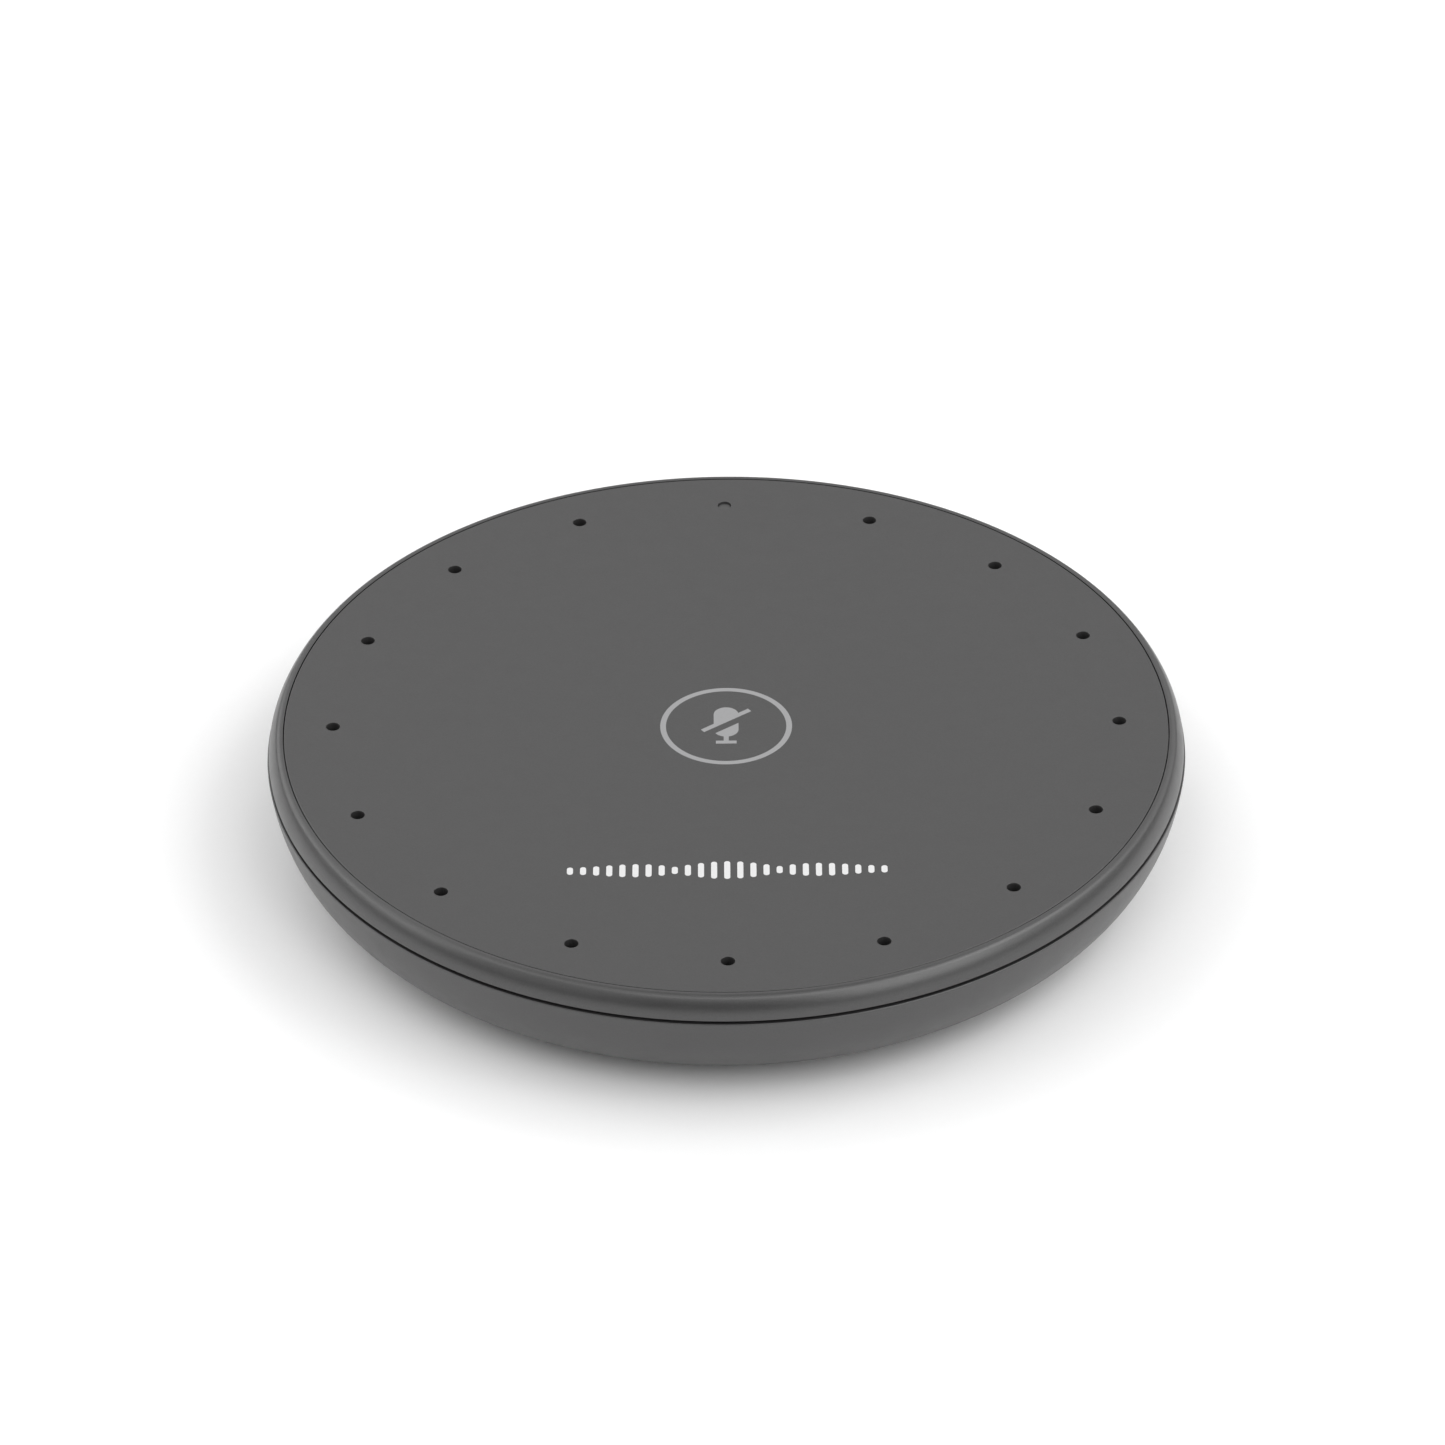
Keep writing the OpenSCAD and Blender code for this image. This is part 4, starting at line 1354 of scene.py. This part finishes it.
@dataclass
class RearSockets(SubAssembly):
    """The network and USB sockets that open into the bay."""

    sheet: float = 0.3 * MM
    fold: float = 0.35 * MM
    mouth_half: float = 6.1 * MM
    mouth_low: float = 2.2 * MM
    mouth_high: float = 10.8 * MM
    latch_half: float = 3.2 * MM
    latch_low: float = 0.9 * MM
    lamp_inner: float = 4.3 * MM
    lamp_outer: float = 6.7 * MM
    lamp_low: float = 0.6 * MM
    lamp_high: float = 1.7 * MM
    lamp_gap: float = 0.06 * MM
    spring_half: float = 1.5 * MM
    contact_pitch: float = 1.02 * MM
    contact_wire: float = 0.35 * MM
    usb_round: float = 0.12 * MM
    pad_pitch: float = 0.5 * MM
    pad_count: int = 12

    def build(self) -> None:
        """Builds the visible pieces of both sockets."""
        self.low, self.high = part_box("ethernet_jack_shield")
        self.middle, self.face = (self.low.x + self.high.x) / 2, self.high.y
        self.network_shield()
        self.lamps()
        self.network_contacts()
        self.usb_shell()
        self.usb_tongue()

    def window(self, left: float, right: float, low: float, high: float) -> Object:
        """Makes a cutter through the network socket's front, measured from its middle and its foot."""
        return block("window", (self.middle + left, self.face - 0.8 * MM, self.low.z + low),
                     (self.middle + right, self.face + MM, self.low.z + high))

    def network_shield(self) -> None:
        """Builds the folded tin shield with its mouth, lamp windows and side springs."""
        low, high, sheet = self.low, self.high, self.sheet
        shield = block("network_socket", low, high, edge=self.fold, steps=3)
        combine(shield, Combine.CUT, block("core", (low.x + sheet, low.y + sheet, low.z + sheet),
                                           (high.x - sheet, high.y - sheet, high.z + MM)),
                self.window(-self.mouth_half, self.mouth_half, self.mouth_low, self.mouth_high),
                self.window(-self.latch_half, self.latch_half, self.latch_low, self.mouth_low + MM),
                self.window(-self.lamp_outer, -self.lamp_inner, self.lamp_low, self.lamp_high),
                self.window(self.lamp_inner, self.lamp_outer, self.lamp_low, self.lamp_high))
        combine(shield, Combine.JOIN, self.spring(-1), self.spring(1))
        self.keep(shield, TIN, "ethernet_jack_shield")

    def spring(self, side: int) -> Object:
        """Makes one grounding spring, folded in from the mouth's edge.

        Args:
            side: -1 for the left and 1 for the right.

        Returns:
            The spring.
        """
        outer = [(6.25, 0.0), (6.05, 0.0), (5.84, -0.25), (5.6, -1.8), (5.72, -4.2)]
        inner = [(5.6, -4.2), (5.48, -1.8), (5.72, -0.2), (6.02, -0.28), (6.25, -0.28)]
        loop = [(self.middle + side * x * MM, self.face + y * MM) for x, y in outer + inner]
        middle = self.low.z + (self.mouth_low + self.mouth_high) / 2
        return prism("spring", loop, low=middle - self.spring_half, high=middle + self.spring_half)

    def lamps(self) -> None:
        """Builds the two status lamps in their windows."""
        half, gap, foot = (self.lamp_outer - self.lamp_inner) / 2, self.lamp_gap, self.low.z
        lamp = block("network_lamps", (gap - half, self.face - 0.34 * MM, foot + self.lamp_low + gap),
                     (half - gap, self.face - 0.04 * MM, foot + self.lamp_high - gap), edge=0.08 * MM)
        spread = self.lamp_outer + self.lamp_inner
        moved(lamp, self.middle - spread / 2)
        self.keep(ROW_PATTERN.apply(lamp, LAMP, {"Count": 2, "Step": (spread, 0.0, 0.0)}), LAMP)

    def network_contacts(self) -> None:
        """Builds the eight spring contacts, each bent down from the roof and sloping to the rear."""
        low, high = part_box("ethernet_jack_contacts")
        wire, half = self.contact_wire, self.contact_wire / 2
        drop = high.z - low.z - wire
        line = [(0.0, high.y - half, high.z), (0.0, high.y - half, high.z - 0.7 * drop),
                (0.0, high.y - 2.2 * MM, low.z + half), (0.0, low.y, high.z - 0.45 * drop)]
        contacts = moved(mesh_object("network_contacts", line, [], [(0, 1), (1, 2), (2, 3)]), low.x + half)
        BentWires().apply(contacts, GOLD, {
            "Count": 8, "Step": (self.contact_pitch, 0.0, 0.0), "Wire Width": wire, "Bend Radius": 0.6 * MM})
        self.keep(contacts, GOLD, "ethernet_jack_contacts")

    def usb_shell(self) -> None:
        """Builds the USB socket's drawn steel shell, with a rounded mouth."""
        low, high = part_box("usb_socket_shell")
        shell = usb_bar("usb_socket", 0.0, low.y, high.y)
        work = bmesh.new()
        work.from_mesh(shell.data)
        mouth = [edge for edge in work.edges if all(abs(v.co.y - high.y) < WELD for v in edge.verts)]
        bmesh.ops.bevel(work, geom=mouth, offset=self.usb_round, segments=3, profile=0.5, affect="EDGES")
        work.to_mesh(shell.data)
        work.free()
        combine(shell, Combine.CUT, usb_bar("hollow", self.sheet, low.y + self.sheet, high.y + MM))
        self.keep(shell, TIN, "usb_socket_shell")

    def usb_tongue(self) -> None:
        """Builds the rows of gold pads on the USB socket's tongue."""
        high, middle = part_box("usb_socket_tongue")[1], middle_of("usb_socket_tongue")
        half, thick = 0.13 * MM, 0.37 * MM
        first = middle.x - self.pad_pitch * (self.pad_count - 1) / 2
        pad = block("usb_pads", (first - half, high.y - 3.2 * MM, middle.z - thick),
                    (first + half, high.y - 0.5 * MM, middle.z + thick))
        row = {"Count": self.pad_count, "Step": (self.pad_pitch, 0.0, 0.0)}
        self.keep(ROW_PATTERN.apply(pad, GOLD, row), GOLD)


def dress_frame() -> None:
    """Gives every CAD node that still shows its own finish."""
    for finish, names in CAD_FINISHES.items():
        for name in names:
            paint(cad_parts[name], finish)
            LOG.info("CAD node %s: %s", name, finish.name)


# ---------------------------------------------------------------- studio


@dataclass(frozen=True)
class LightRing:
    """Equal soft rectangular lights at one elevation, all facing the object."""

    name: str
    elevation: float
    size: Point
    radiances: tuple[float, ...]
    reach: float = 2.2

    def build(self) -> None:
        """Hangs a light at every step of azimuth whose radiance is above 0, starting from +X."""
        level = math.radians(self.elevation)
        for i, radiance in enumerate(self.radiances):
            if radiance > 0:
                turn = math.tau * i / len(self.radiances)
                away = Vector((math.cos(level) * math.cos(turn), math.cos(level) * math.sin(turn),
                               math.sin(level)))
                self.softbox(f"{self.name}_{i}", self.reach * away, radiance)

    def softbox(self, name: str, place: Vector, radiance: float) -> None:
        """Hangs one light.

        Args:
            name: the light's name.
            place: where it is.
            radiance: the radiance of its face.
        """
        data = bpy.data.lights.new(name, "AREA")
        data.shape = "RECTANGLE"
        data.size, data.size_y = self.size
        data.energy = math.pi * self.size[0] * self.size[1] * radiance
        turn = (-place).to_track_quat("-Z", "Y").to_matrix().to_4x4()
        new_object(name, data).matrix_world = Matrix.Translation(place) @ turn


@dataclass
class Studio:
    """The camera, the lights and the floor."""

    elevation: float = 35.35
    distance: float = 1674.7 * MM
    roll: float = -0.438
    lens: float = 191.63
    sensor: float = 36.0
    shift: Point = (-0.0025, 0.0007)
    clip: Point = (0.05, 50.0)
    floor_size: float = 6.0
    floor_level: float = -0.05 * MM
    world: float = 0.16
    rings: tuple[LightRing, ...] = (
        LightRing("low", 25.0, (1.6, 0.9), (1.2, 1.2, 0.8, 1.9, 2.0, 0.6, 0.0, 2.5)),
        LightRing("middle", 50.0, (1.5, 1.1), (2.35, 0.66, 0.6, 0.72, 1.08, 0.81, 1.25, 1.75)),
        LightRing("high", 74.0, (1.2, 1.0), (0.42, 0.1, 0.58, 0.8)),
    )

    def build(self) -> None:
        """Sets up the camera, the floor, the surroundings and the lights."""
        bpy.context.scene.view_settings.view_transform = "Standard"
        self.camera()
        self.floor()
        self.surroundings()
        for ring in self.rings:
            ring.build()

    def camera(self) -> None:
        """Makes the camera and aims it at the middle of the panel."""
        tilt, roll = math.radians(self.elevation), math.radians(self.roll)
        back = Vector((0.0, -math.cos(tilt), math.sin(tilt)))
        flat, up = Vector((1.0, 0.0, 0.0)), Vector((0.0, math.sin(tilt), math.cos(tilt)))
        right = flat * math.cos(roll) + up * math.sin(roll)
        rise = up * math.cos(roll) - flat * math.sin(roll)
        data = bpy.data.cameras.new("camera")
        data.lens, data.sensor_width = self.lens, self.sensor
        data.shift_x, data.shift_y = self.shift
        data.clip_start, data.clip_end = self.clip
        camera = new_object("camera", data)
        target = Vector((0.0, 0.0, CAD_BOX[1].z))
        turn = Matrix((right, rise, back)).transposed().to_4x4()
        camera.matrix_world = Matrix.Translation(target + back * self.distance) @ turn
        bpy.context.scene.camera = camera

    def floor(self) -> None:
        """Makes the plain pale floor."""
        half, level = self.floor_size / 2, self.floor_level
        floor = mesh_object("floor", [(-half, -half, level), (half, -half, level), (half, half, level),
                                      (-half, half, level)], [(0, 1, 2, 3)])
        paint(floor, FLOOR_PAPER)

    def surroundings(self) -> None:
        """Makes the plain white surroundings."""
        world = bpy.data.worlds.new("studio")
        bpy.context.scene.world = world
        world.use_nodes = True
        inputs = world.node_tree.nodes["Background"].inputs
        inputs["Color"].default_value = (1.0, 1.0, 1.0, 1.0)
        inputs["Strength"].default_value = self.world


def main() -> None:
    """Builds the object and the studio, and reports each piece."""
    logging.basicConfig(level=logging.INFO, format="%(message)s")
    Studio().build()
    dress_frame()
    for assembly in (Panel(), RimHousing(), Bowl(), RearSockets()):
        assembly.build()
        assembly.report()


if __name__ == "__main__":
    main()
